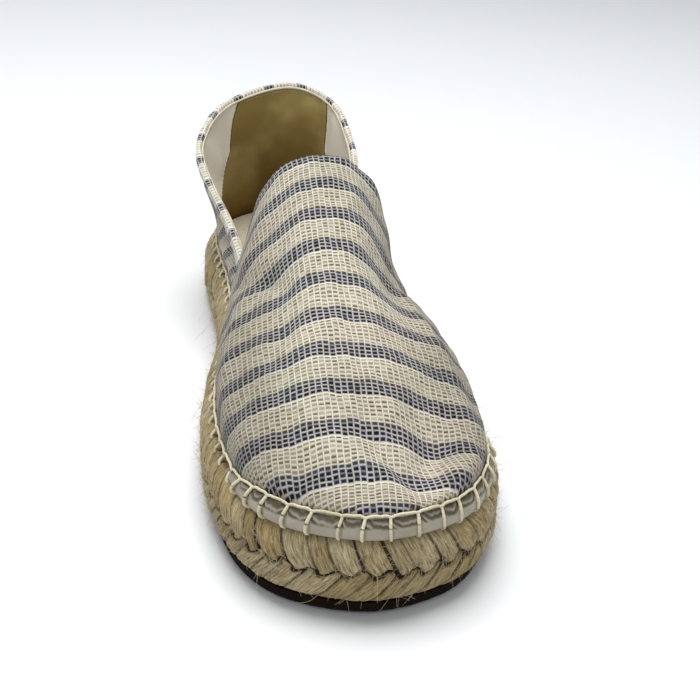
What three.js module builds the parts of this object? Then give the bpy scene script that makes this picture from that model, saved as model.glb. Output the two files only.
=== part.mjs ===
// A left espadrille: a thin rubber outsole, a braided jute sole, a rubber strip round the toe, a
// two-piece canvas upper with a high rounded vamp and a notch at each side, a bound collar and an
// insole. Millimetres. X runs from the medial side (-) to the lateral side (+), the toe points
// to -Y, and the sole rests on Z = 0. The origin is on the floor under the middle of the shoe.
import * as THREE from "three";

// The shoe's main sizes
const length = 285;
const ballWidth = 102;
const instepHeight = 97; // top of the vamp above the floor
const heelHeight = 95; // top of the collar above the floor
const toeSpring = 2;
const archLift = 1;

// Thicknesses of the pieces
const outsoleThickness = 4;
const juteHeight = 22.5;
const insoleThickness = 2.5;
const wall = 1.6; // canvas and its lining
const vampLap = 1.1; // how far the vamp stands proud of the heel piece that it laps over
const seat = 0.3; // air between two pieces that meet

// The braid on the side of the jute sole
const strandPitch = 8.6;
const strandsLean = 5.5; // how far a strand's inner end is slanted along the sole
const strandRelief = 1.1;
const braidGroove = 1.3; // depth of the furrow between the two rows of strands
const juteBulge = 1.6;
const juteRim = 2.4; // how far the top rim rounds in
const juteUndercut = 3.4; // how far the bottom rim tucks in over the rubber

// Where the pieces stand, measured inwards from the edge of the jute sole
const outsoleInset = 2.6;
const seamInset = 5.6; // outer face of the upper where it meets the jute
const randThickness = 2.6;
const randHeight = 6.8;
const seamHeight = 3.2; // the straight foot of the upper at the sides
const bindingDepth = 5.5;
const bindingSwell = 0.7; // how far the binding stands proud of each face of the wall

// The jute sole's outline: a row for each section, from the toe to the heel. Along is a share of
// the length from the toe; medial and lateral are shares of the ball width, from the middle.
const soleSections = [
  { along: 0.028, medial: -0.265, lateral: 0.238 },
  { along: 0.085, medial: -0.41, lateral: 0.388 },
  { along: 0.168, medial: -0.477, lateral: 0.472 },
  { along: 0.274, medial: -0.5, lateral: 0.5 },
  { along: 0.393, medial: -0.47, lateral: 0.472 },
  { along: 0.526, medial: -0.402, lateral: 0.41 },
  { along: 0.667, medial: -0.386, lateral: 0.348 },
  { along: 0.807, medial: -0.408, lateral: 0.326 },
  { along: 0.912, medial: -0.376, lateral: 0.298 },
  { along: 0.975, medial: -0.236, lateral: 0.166 },
];
const toeTip = { along: 0, across: -0.016 };
const heelTip = { along: 1, across: -0.036 };

// The free edge of the vamp, from the middle of its top to the notch: shares of the ball width,
// the length and the instep height.
const vampEdgeMedial = [
  { across: 0.003, along: 0.55, height: 1 },
  { across: -0.09, along: 0.55, height: 0.99 },
  { across: -0.17, along: 0.552, height: 0.945 },
  { across: -0.222, along: 0.556, height: 0.863 },
  { across: -0.256, along: 0.562, height: 0.745 },
  { across: -0.284, along: 0.57, height: 0.614 },
  { across: -0.305, along: 0.58, height: 0.49 },
];
const vampEdgeLateral = [
  { across: 0.003, along: 0.55, height: 1 },
  { across: 0.09, along: 0.55, height: 0.988 },
  { across: 0.158, along: 0.552, height: 0.935 },
  { across: 0.204, along: 0.556, height: 0.85 },
  { across: 0.232, along: 0.562, height: 0.735 },
  { across: 0.252, along: 0.57, height: 0.61 },
  { across: 0.272, along: 0.58, height: 0.49 },
];

// The edge of the collar from the medial notch round the heel to the lateral notch: shares of the
// ball width, the length and the heel height. The collar leans towards the medial side.
const collarEdge = [
  { across: -0.305, along: 0.58, height: 0.5 },
  { across: -0.395, along: 0.66, height: 0.612 },
  { across: -0.436, along: 0.755, height: 0.71 },
  { across: -0.444, along: 0.85, height: 0.81 },
  { across: -0.314, along: 0.928, height: 0.925 },
  { across: -0.02, along: 0.962, height: 1 },
  { across: 0.188, along: 0.937, height: 0.935 },
  { across: 0.25, along: 0.85, height: 0.815 },
  { across: 0.242, along: 0.755, height: 0.71 },
  { across: 0.256, along: 0.66, height: 0.612 },
  { across: 0.272, along: 0.58, height: 0.5 },
];

// How the upper's surface leaves its foot and reaches its edge, from the toe round one side to the
// heel. Rise and swell place the first handle above and outside the foot, and reach and drop place
// the second handle ahead of the edge and below it. Rise and drop are shares of the instep height,
// and swell of the ball width. The lateral side is drawn in by the tuck, a share of the ball width.
const wallHandles = [
  { rise: 0.1, swell: -0.02, reach: 0.43, drop: 0.32, tuck: 0 },
  { rise: 0.14, swell: 0.005, reach: 0.43, drop: 0.29, tuck: -0.01 },
  { rise: 0.17, swell: 0.018, reach: 0.4, drop: 0.24, tuck: -0.02 },
  { rise: 0.18, swell: 0.01, reach: 0.36, drop: 0.18, tuck: 0.02 },
  { rise: 0.18, swell: 0.02, reach: 0.32, drop: 0.15, tuck: 0.04 },
  { rise: 0.14, swell: 0.015, reach: 0.3, drop: 0.13, tuck: 0.09 },
  { rise: 0.07, swell: 0.005, reach: 0.3, drop: 0.07, tuck: 0.08 },
  { rise: 0.1, swell: 0.005, reach: 0.25, drop: 0.1, tuck: 0.02 },
  { rise: 0.14, swell: 0.01, reach: 0.2, drop: 0.14, tuck: 0 },
  { rise: 0.17, swell: 0.015, reach: 0.15, drop: 0.17, tuck: 0 },
  { rise: 0.2, swell: 0.02, reach: 0.1, drop: 0.19, tuck: 0 },
  { rise: 0.22, swell: 0.025, reach: 0.05, drop: 0.2, tuck: 0 },
];

// The worn vamp has sunk along each side of its ridge. A row for each section of a furrow, from the
// toe back: where its bottom lies and half its width, as shares of the ball width, and its depth,
// a share of the instep height.
const lateralFurrow = [
  { along: 0.02, across: 0.1, spread: 0.08, depth: 0 },
  { along: 0.057, across: 0.13, spread: 0.09, depth: 0.057 },
  { along: 0.107, across: 0.205, spread: 0.14, depth: 0.1 },
  { along: 0.166, across: 0.25, spread: 0.145, depth: 0.088 },
  { along: 0.22, across: 0.285, spread: 0.17, depth: 0.083 },
  { along: 0.273, across: 0.25, spread: 0.16, depth: 0.088 },
  { along: 0.332, across: 0.228, spread: 0.14, depth: 0.134 },
  { along: 0.386, across: 0.205, spread: 0.12, depth: 0.175 },
  { along: 0.441, across: 0.222, spread: 0.103, depth: 0.183 },
  { along: 0.492, across: 0.22, spread: 0.1, depth: 0.108 },
  { along: 0.547, across: 0.142, spread: 0.075, depth: 0.022 },
  { along: 0.575, across: 0.14, spread: 0.07, depth: 0 },
];
const medialFurrow = [
  { along: 0.166, across: -0.26, spread: 0.08, depth: 0 },
  { along: 0.22, across: -0.28, spread: 0.09, depth: 0.018 },
  { along: 0.273, across: -0.24, spread: 0.105, depth: 0.05 },
  { along: 0.332, across: -0.265, spread: 0.125, depth: 0.075 },
  { along: 0.386, across: -0.25, spread: 0.115, depth: 0.105 },
  { along: 0.441, across: -0.245, spread: 0.1, depth: 0.07 },
  { along: 0.492, across: -0.2, spread: 0.08, depth: 0.033 },
  { along: 0.547, across: -0.17, spread: 0.06, depth: 0.009 },
  { along: 0.575, across: -0.17, spread: 0.06, depth: 0 },
];

// Stations run round the outline: 0 at the toe, a whole number at each section's medial point,
// HEEL_STATION at the heel, and on down the lateral side to ALL_STATIONS, which is the toe again.
const HEEL_STATION = soleSections.length + 1;
const ALL_STATIONS = 2 * HEEL_STATION;
const NOTCH_STATION = 6.6;
const RAND_ENDS = { medial: 2.9, lateral: ALL_STATIONS - 3.7 };
const SPRING_SHARE = 0.17;
const ARCH_SHARES = { from: 0.45, to: 0.7 };

const STATION_STEPS = 4; // columns of faces between two stations
const BRAID_STEPS = 3; // columns of faces in one strand
const WALL_STEPS = 9; // rows of faces up the upper
const FURROW_FADE = 0.3; // share of the wall's height over which the furrows fade to its foot
const LAP_STEP = 0.06; // stations between the vamp's back edge and the heel piece

const fromToe = (share) => (share - 0.5) * length;
const across = (share) => share * ballWidth;

function curveThrough(points, closed) {
  return new THREE.CatmullRomCurve3(points, closed, "catmullrom", 0.5);
}

const outline = curveThrough(
  [
    new THREE.Vector3(across(toeTip.across), fromToe(toeTip.along), 0),
    ...soleSections.map(
      (s) => new THREE.Vector3(across(s.medial), fromToe(s.along), 0),
    ),
    new THREE.Vector3(across(heelTip.across), fromToe(heelTip.along), 0),
    ...soleSections
      .toReversed()
      .map((s) => new THREE.Vector3(across(s.lateral), fromToe(s.along), 0)),
  ],
  true,
);

function edgeCurve(rows, topHeight) {
  const points = rows.map(
    (r) =>
      new THREE.Vector3(
        across(r.across),
        fromToe(r.along),
        r.height * topHeight,
      ),
  );
  return curveThrough(points, false);
}

const medialVampEdge = edgeCurve(vampEdgeMedial, instepHeight);
const lateralVampEdge = edgeCurve(vampEdgeLateral, instepHeight);
const collar = edgeCurve(collarEdge, heelHeight);
const riseCurve = curveThrough(
  wallHandles.map((h) => new THREE.Vector3(h.rise, h.swell, 0)),
  false,
);
const reachCurve = curveThrough(
  wallHandles.map((h) => new THREE.Vector3(h.reach, h.drop, h.tuck)),
  false,
);

// A station as a share of the way round, from 0 to 1.
function turn(station) {
  return (((station / ALL_STATIONS) % 1) + 1) % 1;
}

// A point of the outline moved inwards on the level, at a share of the way round.
function insetPoint(share, inset) {
  const tangent = outline.getTangent(share);
  const inwards = new THREE.Vector3(tangent.y, -tangent.x, 0).normalize();
  return outline.getPoint(share).addScaledVector(inwards, inset);
}

// How far the underside stands off the floor: the toe springs up and the arch clears it a little.
function liftAt(y) {
  const share = y / length + 0.5;
  if (share < SPRING_SHARE) {
    return toeSpring * ((SPRING_SHARE - share) / SPRING_SHARE) ** 2;
  }
  const inArch = THREE.MathUtils.inverseLerp(
    ARCH_SHARES.from,
    ARCH_SHARES.to,
    share,
  );
  if (inArch > 0 && inArch < 1) return archLift * Math.sin(Math.PI * inArch) ** 2;
  return 0;
}

const JUTE_FLOOR = outsoleThickness + seat;
const JUTE_TOP = JUTE_FLOOR + juteHeight;
const UPPER_FOOT = JUTE_TOP + seat;

function raised(point, height) {
  point.z = height + liftAt(point.y);
  return point;
}

// Stations between two ends, with a stop at both.
function stationsBetween(from, to) {
  const steps = Math.ceil((to - from) * STATION_STEPS);
  return Array.from(
    { length: steps + 1 },
    (_, i) => from + ((to - from) * i) / steps,
  );
}

function geometryOf(points, faces) {
  const geometry = new THREE.BufferGeometry().setFromPoints(points);
  geometry.setIndex(faces.flat());
  geometry.computeVertexNormals();
  return geometry;
}

// The faces between neighbouring rings of points. Rings that close join the last to the first.
function facesBetween(ringCount, ringSize, ringsClose) {
  const faces = [];
  const last = ringsClose ? ringCount : ringCount - 1;
  for (let ring = 0; ring < last; ring++) {
    const next = (ring + 1) % ringCount;
    for (let i = 0; i < ringSize; i++) {
      const j = (i + 1) % ringSize;
      const [a, b] = [ring * ringSize + i, ring * ringSize + j];
      const [c, d] = [next * ringSize + i, next * ringSize + j];
      faces.push([a, c, b], [b, c, d]);
    }
  }
  return faces;
}

// A flat-ended stack of level rings, each starting at the toe: its two ends are closed by faces
// that run straight across from the medial side to the lateral side.
function stackSolid(rings) {
  const size = rings[0].length;
  const faces = facesBetween(rings.length, size, false);
  const top = (rings.length - 1) * size;
  for (let i = 0; i < size / 2; i++) {
    const [m0, m1] = [i, i + 1];
    const [l0, l1] = [(size - i) % size, size - i - 1];
    if (m1 !== l1) {
      faces.push([m0, m1, l1]);
      faces.push([top + m0, top + l1, top + m1]);
    }
    if (m0 !== l0) {
      faces.push([m0, l1, l0]);
      faces.push([top + m0, top + l0, top + l1]);
    }
  }
  return geometryOf(rings.flat(), faces);
}

// A row of closed sections: a ring round the shoe, or a bar with two flat ends. Each section is
// drawn outwards along its bottom and then up its outer side.
function sweptSolid(sections, closed) {
  const size = sections[0].length;
  const turned = sections.map((section) => section.toReversed());
  const faces = facesBetween(turned.length, size, closed);
  if (!closed) {
    const end = (turned.length - 1) * size;
    for (let i = 1; i < size - 1; i++) {
      faces.push([0, i, i + 1]);
      faces.push([end, end + i + 1, end + i]);
    }
  }
  return geometryOf(turned.flat(), faces);
}

// Level rings of an even outline, for the pieces with a plain edge.
function plainRing(inset, height) {
  const stations = stationsBetween(0, ALL_STATIONS).slice(0, -1);
  return stations.map((s) => raised(insetPoint(turn(s), inset), height));
}

function outsoleGeometry() {
  return stackSolid([
    plainRing(outsoleInset + 0.8, 0),
    plainRing(outsoleInset, outsoleThickness / 3),
    plainRing(outsoleInset, outsoleThickness),
  ]);
}

function insoleGeometry() {
  const inset = seamInset + wall + 2 * seat;
  return stackSolid([
    plainRing(inset, UPPER_FOOT),
    plainRing(inset, UPPER_FOOT + insoleThickness),
  ]);
}

// One level of the braided side: how high it is, how far it stands out, how much of the strands'
// relief it has, and how far along the strands have leant by there.
const braidLevels = [
  { height: 0, out: -juteUndercut, relief: 0, lean: 0 },
  { height: 0.08, out: juteRim - juteUndercut, relief: 0.6, lean: 0.14 },
  { height: 0.27, out: juteBulge, relief: 1, lean: 0.6 },
  { height: 0.5, out: juteBulge - braidGroove, relief: 0.5, lean: 1 },
  { height: 0.73, out: juteBulge * 0.8, relief: 1, lean: 0.6 },
  { height: 0.93, out: -0.6, relief: 0.6, lean: 0.14 },
  { height: 1, out: -juteRim, relief: 0, lean: 0 },
];

function juteGeometry() {
  const around = outline.getLength();
  const strands = 2 * Math.round(around / strandPitch / 2);
  const columns = strands * BRAID_STEPS;
  const rings = braidLevels.map((level) =>
    Array.from({ length: columns }, (_, i) => {
      const ridge = i % BRAID_STEPS === 0 ? -strandRelief : strandRelief / 2;
      const lean = (level.lean * strandsLean) / around;
      const share = outline.getUtoTmapping((i / columns + 1 - lean) % 1);
      const inset = -(level.out - juteBulge) - ridge * level.relief;
      const height = JUTE_FLOOR + level.height * juteHeight;
      return raised(insetPoint(share, inset), height);
    }),
  );
  return stackSolid(rings);
}

// How much of the toe strip's height there is at a station: all of it round the toe, and none past
// its ends.
function randShare(station) {
  const fromTheToe = station > HEEL_STATION ? ALL_STATIONS - station : station;
  const end =
    station > HEEL_STATION
      ? ALL_STATIONS - RAND_ENDS.lateral
      : RAND_ENDS.medial;
  return THREE.MathUtils.smoothstep(end - fromTheToe, 0, end * 0.45);
}

function randGeometry() {
  const stations = stationsBetween(
    RAND_ENDS.lateral - ALL_STATIONS,
    RAND_ENDS.medial,
  );
  const back = seamInset - seat;
  const sections = stations.map((station) => {
    const s = (station + ALL_STATIONS) % ALL_STATIONS;
    const tall = randHeight * (0.35 + 0.65 * randShare(s));
    const at = (inset, height) =>
      raised(insetPoint(turn(s), inset), UPPER_FOOT + height);
    return [
      at(back, 0),
      at(back - randThickness, 0),
      at(back - randThickness - 0.5, tall * 0.35),
      at(back - randThickness, tall * 0.75),
      at(back - randThickness * 0.5, tall),
      at(back, tall),
    ];
  });
  return sweptSolid(sections, false);
}

// The height at which the upper turns out of the sole: above the toe strip, or a little above the
// jute at the sides.
function seamAt(station) {
  return THREE.MathUtils.lerp(seamHeight, randHeight + seat, randShare(station));
}

// The place on the upper's free edge that belongs to a station, on the vamp or on the heel piece.
function edgePoint(station, onVamp) {
  if (!onVamp) {
    const share =
      (station - NOTCH_STATION) / (ALL_STATIONS - 2 * NOTCH_STATION);
    return collar.getPoint(THREE.MathUtils.clamp(share, 0, 1));
  }
  const lateral = station > HEEL_STATION;
  const fromTheToe = lateral ? ALL_STATIONS - station : station;
  const edge = lateral ? lateralVampEdge : medialVampEdge;
  return edge.getPoint(Math.min(fromTheToe / NOTCH_STATION, 1));
}

// The curve up the upper's outer face at a station, from its seam with the sole to its free edge.
function wallCurve(station, onVamp) {
  const share = turn(station);
  const fromTheToe =
    station > HEEL_STATION ? ALL_STATIONS - station : station;
  const handles = fromTheToe / HEEL_STATION;
  const { x: rise, y: swell } = riseCurve.getPoint(handles);
  const { x: reach, y: drop, z: tuck } = reachCurve.getPoint(handles);
  const drawnIn = station > HEEL_STATION ? across(tuck) : 0;
  const foot = raised(
    insetPoint(share, seamInset),
    UPPER_FOOT + seamAt(station),
  );
  const edge = edgePoint(station, onVamp);
  const first = raised(
    insetPoint(share, seamInset - across(swell) + drawnIn / 2),
    foot.z - liftAt(foot.y) + rise * instepHeight,
  );
  const second = edge.clone().lerp(foot, reach);
  second.x -= drawnIn;
  second.z = edge.z - drop * instepHeight;
  return new THREE.CubicBezierCurve3(foot, first, second, edge);
}

// How deep a furrow is at a point of the vamp.
function furrowDepth(rows, point) {
  const along = point.y / length + 0.5;
  const next = rows.findIndex((row) => row.along > along);
  if (next < 1) return 0;
  const [a, b] = [rows[next - 1], rows[next]];
  const part = THREE.MathUtils.inverseLerp(a.along, b.along, along);
  const mixed = (size) => THREE.MathUtils.lerp(a[size], b[size], part);
  const off = (point.x - across(mixed("across"))) / across(mixed("spread"));
  return instepHeight * mixed("depth") * Math.exp(-off * off);
}

// A point of the upper's outer face: share 0 is the seam with the sole and 1 the free edge.
function wallPoint(station, onVamp, share) {
  const point = wallCurve(station, onVamp).getPoint(share);
  if (onVamp) {
    const depth =
      furrowDepth(lateralFurrow, point) + furrowDepth(medialFurrow, point);
    point.z -= depth * THREE.MathUtils.smoothstep(share, 0, FURROW_FADE);
  }
  return point;
}

function wallNormal(station, onVamp, share) {
  const step = 0.02;
  const [low, high] = onVamp
    ? [-NOTCH_STATION, NOTCH_STATION]
    : [NOTCH_STATION, ALL_STATIONS - NOTCH_STATION];
  const signed =
    onVamp && station > HEEL_STATION ? station - ALL_STATIONS : station;
  const at = (s, v) =>
    wallPoint((s + ALL_STATIONS) % ALL_STATIONS, onVamp, v);
  const along = at(Math.min(signed + step, high), share).sub(
    at(Math.max(signed - step, low), share),
  );
  const upwards = at(signed, Math.min(share + step, 1)).sub(
    at(signed, Math.max(share - step, 0)),
  );
  return upwards.cross(along).normalize();
}

// A point of the upper at a depth under its outer face. A negative depth stands proud of it.
function underFace(station, onVamp, share, depth) {
  return wallPoint(station, onVamp, share).addScaledVector(
    wallNormal(station, onVamp, share),
    -depth,
  );
}

// The share of the wall's height that is left under the binding.
function belowBinding(station, depth) {
  const tall = wallCurve(station, false).getLength();
  return 1 - depth / tall;
}

// The columns of the upper, once round from the lateral notch over the toe and round the heel.
function upperColumns() {
  const vamp = stationsBetween(-NOTCH_STATION, NOTCH_STATION).map((s) => ({
    station: (s + ALL_STATIONS) % ALL_STATIONS,
    onVamp: true,
  }));
  const heelPiece = stationsBetween(
    NOTCH_STATION + LAP_STEP,
    ALL_STATIONS - NOTCH_STATION - LAP_STEP,
  ).map((station) => ({ station, onVamp: false }));
  return [...vamp, ...heelPiece];
}

function upperSection({ station, onVamp }) {
  const proud = onVamp ? vampLap : 0;
  const top = onVamp ? 1 : belowBinding(station, bindingDepth + seat);
  const foot = (inset) =>
    raised(insetPoint(turn(station), inset), UPPER_FOOT);
  const shares = Array.from(
    { length: WALL_STEPS + 1 },
    (_, i) => (top * i) / WALL_STEPS,
  );
  const outer = shares.map((v) => underFace(station, onVamp, v, -proud * Math.min(1, 3 * v)));
  const inner = shares.map((v) => underFace(station, onVamp, v, wall));
  return [foot(seamInset), ...outer, ...inner.toReversed(), foot(seamInset + wall)];
}

function upperGeometry() {
  return sweptSolid(upperColumns().map(upperSection), true);
}

function bindingGeometry() {
  const inset = LAP_STEP * 2;
  const stations = stationsBetween(
    NOTCH_STATION + inset,
    ALL_STATIONS - NOTCH_STATION - inset,
  );
  const sections = stations.map((station) => {
    const low = belowBinding(station, bindingDepth);
    const high = belowBinding(station, bindingSwell);
    const at = (share, depth) => underFace(station, false, share, depth);
    return [
      at(low, 0),
      at(low, -bindingSwell),
      at(high, -bindingSwell),
      at(1, wall * 0.25),
      at(1, wall * 0.75),
      at(high, wall + bindingSwell),
      at(low, wall + bindingSwell),
      at(low, wall),
    ];
  });
  return sweptSolid(sections, false);
}

function piece(name, geometry, color, roughness) {
  const material = new THREE.MeshStandardMaterial({
    color,
    roughness,
    metalness: 0,
    flatShading: true,
  });
  const mesh = new THREE.Mesh(geometry, material);
  mesh.name = name;
  return mesh;
}

const shoe = new THREE.Group();
shoe.add(
  piece("outsole", outsoleGeometry(), "#3b2a20", 0.8),
  piece("jute_sole", juteGeometry(), "#b79c74", 0.95),
  piece("toe_rand", randGeometry(), "#a39a8b", 0.55),
  piece("upper", upperGeometry(), "#c9bda6", 0.9),
  piece("collar_binding", bindingGeometry(), "#dcd6c8", 0.9),
  piece("insole", insoleGeometry(), "#ddd2bd", 0.95),
);

export default shoe;
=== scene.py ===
# %% [markdown]
# # A worn canvas espadrille, finished in Blender
#
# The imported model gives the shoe's exact solids: rubber outsole, jute sole, toe strip, canvas
# upper, collar binding and insole. This lesson gives each of them the surface that the real thing
# has. The solids are never moved: a piece that needs finer form is laid over the same curves.

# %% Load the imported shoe
import math

import bpy
import numpy as np
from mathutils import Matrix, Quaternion, Vector


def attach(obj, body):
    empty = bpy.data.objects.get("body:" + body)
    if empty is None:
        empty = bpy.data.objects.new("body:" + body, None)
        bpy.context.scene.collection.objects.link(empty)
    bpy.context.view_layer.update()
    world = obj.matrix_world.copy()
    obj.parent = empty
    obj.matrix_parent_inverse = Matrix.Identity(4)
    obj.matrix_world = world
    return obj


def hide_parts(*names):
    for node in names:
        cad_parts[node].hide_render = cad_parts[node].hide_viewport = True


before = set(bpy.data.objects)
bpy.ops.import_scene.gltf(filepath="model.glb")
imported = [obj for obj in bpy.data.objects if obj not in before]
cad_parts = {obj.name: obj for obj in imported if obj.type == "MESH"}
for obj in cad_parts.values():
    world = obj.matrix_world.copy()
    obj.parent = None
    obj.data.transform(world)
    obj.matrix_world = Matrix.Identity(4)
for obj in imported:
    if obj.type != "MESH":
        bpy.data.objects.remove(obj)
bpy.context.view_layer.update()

print("solids:", sorted(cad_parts))

# %% [markdown]
# ## The shoe's own sizes
#
# All shapes below are worked out in millimetres from the same sizes as the solids: how long, wide
# and high the shoe is, and where its pieces stand inwards from the edge of the jute. Each piece
# could be measured on its own, but pieces that share one set of sizes are sure to meet. Blender
# works in metres, so points are scaled once, when a mesh is made. The tables below give places as
# shares of the shoe's length, of its width over the ball and of its height.

# %% Sizes in millimetres
MM = 0.001
LENGTH, BALL_WIDTH, INSTEP, HEEL = 285.0, 102.0, 97.0, 95.0
TOE_SPRING, ARCH_LIFT = 2.0, 1.0
OUTSOLE, JUTE = 4.0, 22.5  # thickness of the rubber sheet and of the plait
WALL, LAP, SEAT = 1.6, 1.1, 0.3  # the canvas wall, the vamp over the heel piece, a seam's gap
STRAND, STRAND_LEAN, STRAND_RELIEF = 8.6, 5.5, 1.1
BULGE, RIM, UNDERCUT = 1.6, 2.4, 3.4  # how the plait's side swells and draws in
SEAM_INSET = 5.6  # from the plait's edge to the upper's wall
RAND_HIGH, SEAM_HIGH = 6.8, 3.2  # top of the toe strip, and of the seam elsewhere
JUTE_FLOOR = OUTSOLE + SEAT
JUTE_TOP = JUTE_FLOOR + JUTE
UPPER_FOOT = JUTE_TOP + SEAT
print("the upper starts", round(UPPER_FOOT, 1), "mm over the floor")

# %% The sole's outline
# Sections from the toe to the heel: along, medial, lateral
SOLE = np.array([
    (0.028, -0.265, 0.238), (0.085, -0.41, 0.388), (0.168, -0.477, 0.472),
    (0.274, -0.5, 0.5), (0.393, -0.47, 0.472), (0.526, -0.402, 0.41),
    (0.667, -0.386, 0.348), (0.807, -0.408, 0.326), (0.912, -0.376, 0.298),
    (0.975, -0.236, 0.166),
])
print(len(SOLE), "sections of the sole")

# %% The free edges of the upper
# The vamp's, from the middle of its top to the notch: across, along, height
VAMP_EDGE_MEDIAL = np.array([
    (0.003, 0.55, 1), (-0.09, 0.55, 0.99), (-0.17, 0.552, 0.945), (-0.222, 0.556, 0.863),
    (-0.256, 0.562, 0.745), (-0.284, 0.57, 0.614), (-0.305, 0.58, 0.49),
])
VAMP_EDGE_LATERAL = np.array([
    (0.003, 0.55, 1), (0.09, 0.55, 0.988), (0.158, 0.552, 0.935), (0.204, 0.556, 0.85),
    (0.232, 0.562, 0.735), (0.252, 0.57, 0.61), (0.272, 0.58, 0.49),
])
# The collar's, from the medial notch round the heel to the lateral one: across, along, height
COLLAR_EDGE = np.array([
    (-0.305, 0.58, 0.5), (-0.395, 0.66, 0.612), (-0.436, 0.755, 0.71), (-0.444, 0.85, 0.81),
    (-0.314, 0.928, 0.925), (-0.02, 0.962, 1), (0.188, 0.937, 0.935), (0.25, 0.85, 0.815),
    (0.242, 0.755, 0.71), (0.256, 0.66, 0.612), (0.272, 0.58, 0.5),
])
print("the collar's highest point:", COLLAR_EDGE[:, 2].max() * HEEL, "mm over the floor")

# %% How the wall leaves its foot and reaches its edge
# From the toe to the heel: rise, swell, reach, drop, tuck
HANDLES = np.array([
    (0.1, -0.02, 0.43, 0.32, 0), (0.14, 0.005, 0.43, 0.29, -0.01),
    (0.17, 0.018, 0.4, 0.24, -0.02), (0.18, 0.01, 0.36, 0.18, 0.02),
    (0.18, 0.02, 0.32, 0.15, 0.04), (0.14, 0.015, 0.3, 0.13, 0.09),
    (0.07, 0.005, 0.3, 0.07, 0.08), (0.1, 0.005, 0.25, 0.1, 0.02),
    (0.14, 0.01, 0.2, 0.14, 0), (0.17, 0.015, 0.15, 0.17, 0),
    (0.2, 0.02, 0.1, 0.19, 0), (0.22, 0.025, 0.05, 0.2, 0),
])
print(len(HANDLES), "sections of the wall")

# %% The furrows at each side of the vamp's ridge
# along, across, spread, depth
LATERAL_FURROW = np.array([
    (0.02, 0.1, 0.08, 0), (0.057, 0.13, 0.09, 0.057), (0.107, 0.205, 0.14, 0.1),
    (0.166, 0.25, 0.145, 0.088), (0.22, 0.285, 0.17, 0.083), (0.273, 0.25, 0.16, 0.088),
    (0.332, 0.228, 0.14, 0.134), (0.386, 0.205, 0.12, 0.175), (0.441, 0.222, 0.103, 0.183),
    (0.492, 0.22, 0.1, 0.108), (0.547, 0.142, 0.075, 0.022), (0.575, 0.14, 0.07, 0),
])
MEDIAL_FURROW = np.array([
    (0.166, -0.26, 0.08, 0), (0.22, -0.28, 0.09, 0.018), (0.273, -0.24, 0.105, 0.05),
    (0.332, -0.265, 0.125, 0.075), (0.386, -0.25, 0.115, 0.105), (0.441, -0.245, 0.1, 0.07),
    (0.492, -0.2, 0.08, 0.033), (0.547, -0.17, 0.06, 0.009), (0.575, -0.17, 0.06, 0),
])
print(len(LATERAL_FURROW) + len(MEDIAL_FURROW), "places along the two furrows")

# %% [markdown]
# ## Curves that the whole shoe hangs on
#
# A station is a place on the way round the sole: 0 at the toe, 11 at the heel. The vamp counts its
# lateral side backwards, from 0 to -6.6. A smooth curve through the table's points gives the
# outline, the collar and the two edges of the vamp, for any station. Blender's own curve objects
# could do that too, but a function of the station also tells where a stitch or a strand stands.

# %% Stations round the sole
HEEL_STATION = len(SOLE) + 1
ALL_STATIONS = 2 * HEEL_STATION
NOTCH = 6.6  # where the vamp ends, on either side
print("stations round the sole:", ALL_STATIONS)


# %% A smooth curve through a table's points
def along_curve(rows, share, closed=False):
    """A smooth curve that passes through all the rows: share 0 is the first, 1 the last."""
    rows = np.asarray(rows, float)
    count = len(rows)
    place = np.asarray(share, float) * (count if closed else count - 1)
    start = np.floor(place).astype(int)
    if closed:
        part = (place - start)[..., None]
        a, b, c, d = (rows[(start + k) % count] for k in (-1, 0, 1, 2))
    else:
        start = np.clip(start, 0, count - 2)
        part = (place - start)[..., None]
        rows = np.vstack([2 * rows[0] - rows[1], rows, 2 * rows[-1] - rows[-2]])
        a, b, c, d = (rows[start + k] for k in (0, 1, 2, 3))
    return b + 0.5 * part * (
        c - a + part * (2 * a - 5 * b + 4 * c - d + part * (3 * (b - c) + d - a))
    )


def smooth(x, low, high):
    """0 below low, 1 above high and a soft S between them."""
    part = np.clip((np.asarray(x, float) - low) / (high - low), 0, 1)
    return part * part * (3 - 2 * part)


def walked(line):
    """How far each point of a line lies from the first one, along the line."""
    return np.concatenate([[0], np.cumsum(np.linalg.norm(np.diff(line, axis=0), axis=1))])


print("a quarter of the way, a soft step has reached", smooth(0.25, 0, 1))

# %% The sole's edge and its underside
TOE_MIDDLE, HEEL_MIDDLE = -0.016, -0.036  # how far off the middle the outline's two ends lie
SPRING_PART = 0.17  # the front share of the length that springs up
ARCH_FROM, ARCH_PART = 0.45, 0.25  # where along the length the arch starts, and how long it is
OUTLINE = np.array(
    [(TOE_MIDDLE * BALL_WIDTH, -0.5 * LENGTH)]
    + [(m * BALL_WIDTH, (a - 0.5) * LENGTH) for a, m, _ in SOLE]
    + [(HEEL_MIDDLE * BALL_WIDTH, 0.5 * LENGTH)]
    + [(l * BALL_WIDTH, (a - 0.5) * LENGTH) for a, _, l in SOLE[::-1]]
)


def sole_edge(station, inset=0.0):
    """Plan point of the jute's edge at a station, moved inwards by inset."""
    share = np.asarray(station, float) / ALL_STATIONS % 1
    step = along_curve(OUTLINE, share + 1e-4, True) - along_curve(OUTLINE, share - 1e-4, True)
    step /= np.linalg.norm(step, axis=-1, keepdims=True)
    inwards = np.stack([step[..., 1], -step[..., 0]], -1)
    return along_curve(OUTLINE, share, True) + inwards * np.asarray(inset)[..., None]


def lift_at(y):
    """How far the underside stands off the floor: toe spring and arch."""
    share = y / LENGTH + 0.5
    toe = TOE_SPRING * (np.clip(SPRING_PART - share, 0, None) / SPRING_PART) ** 2
    arch = ARCH_LIFT * np.sin(np.pi * np.clip((share - ARCH_FROM) / ARCH_PART, 0, 1)) ** 2
    return toe + arch


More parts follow.
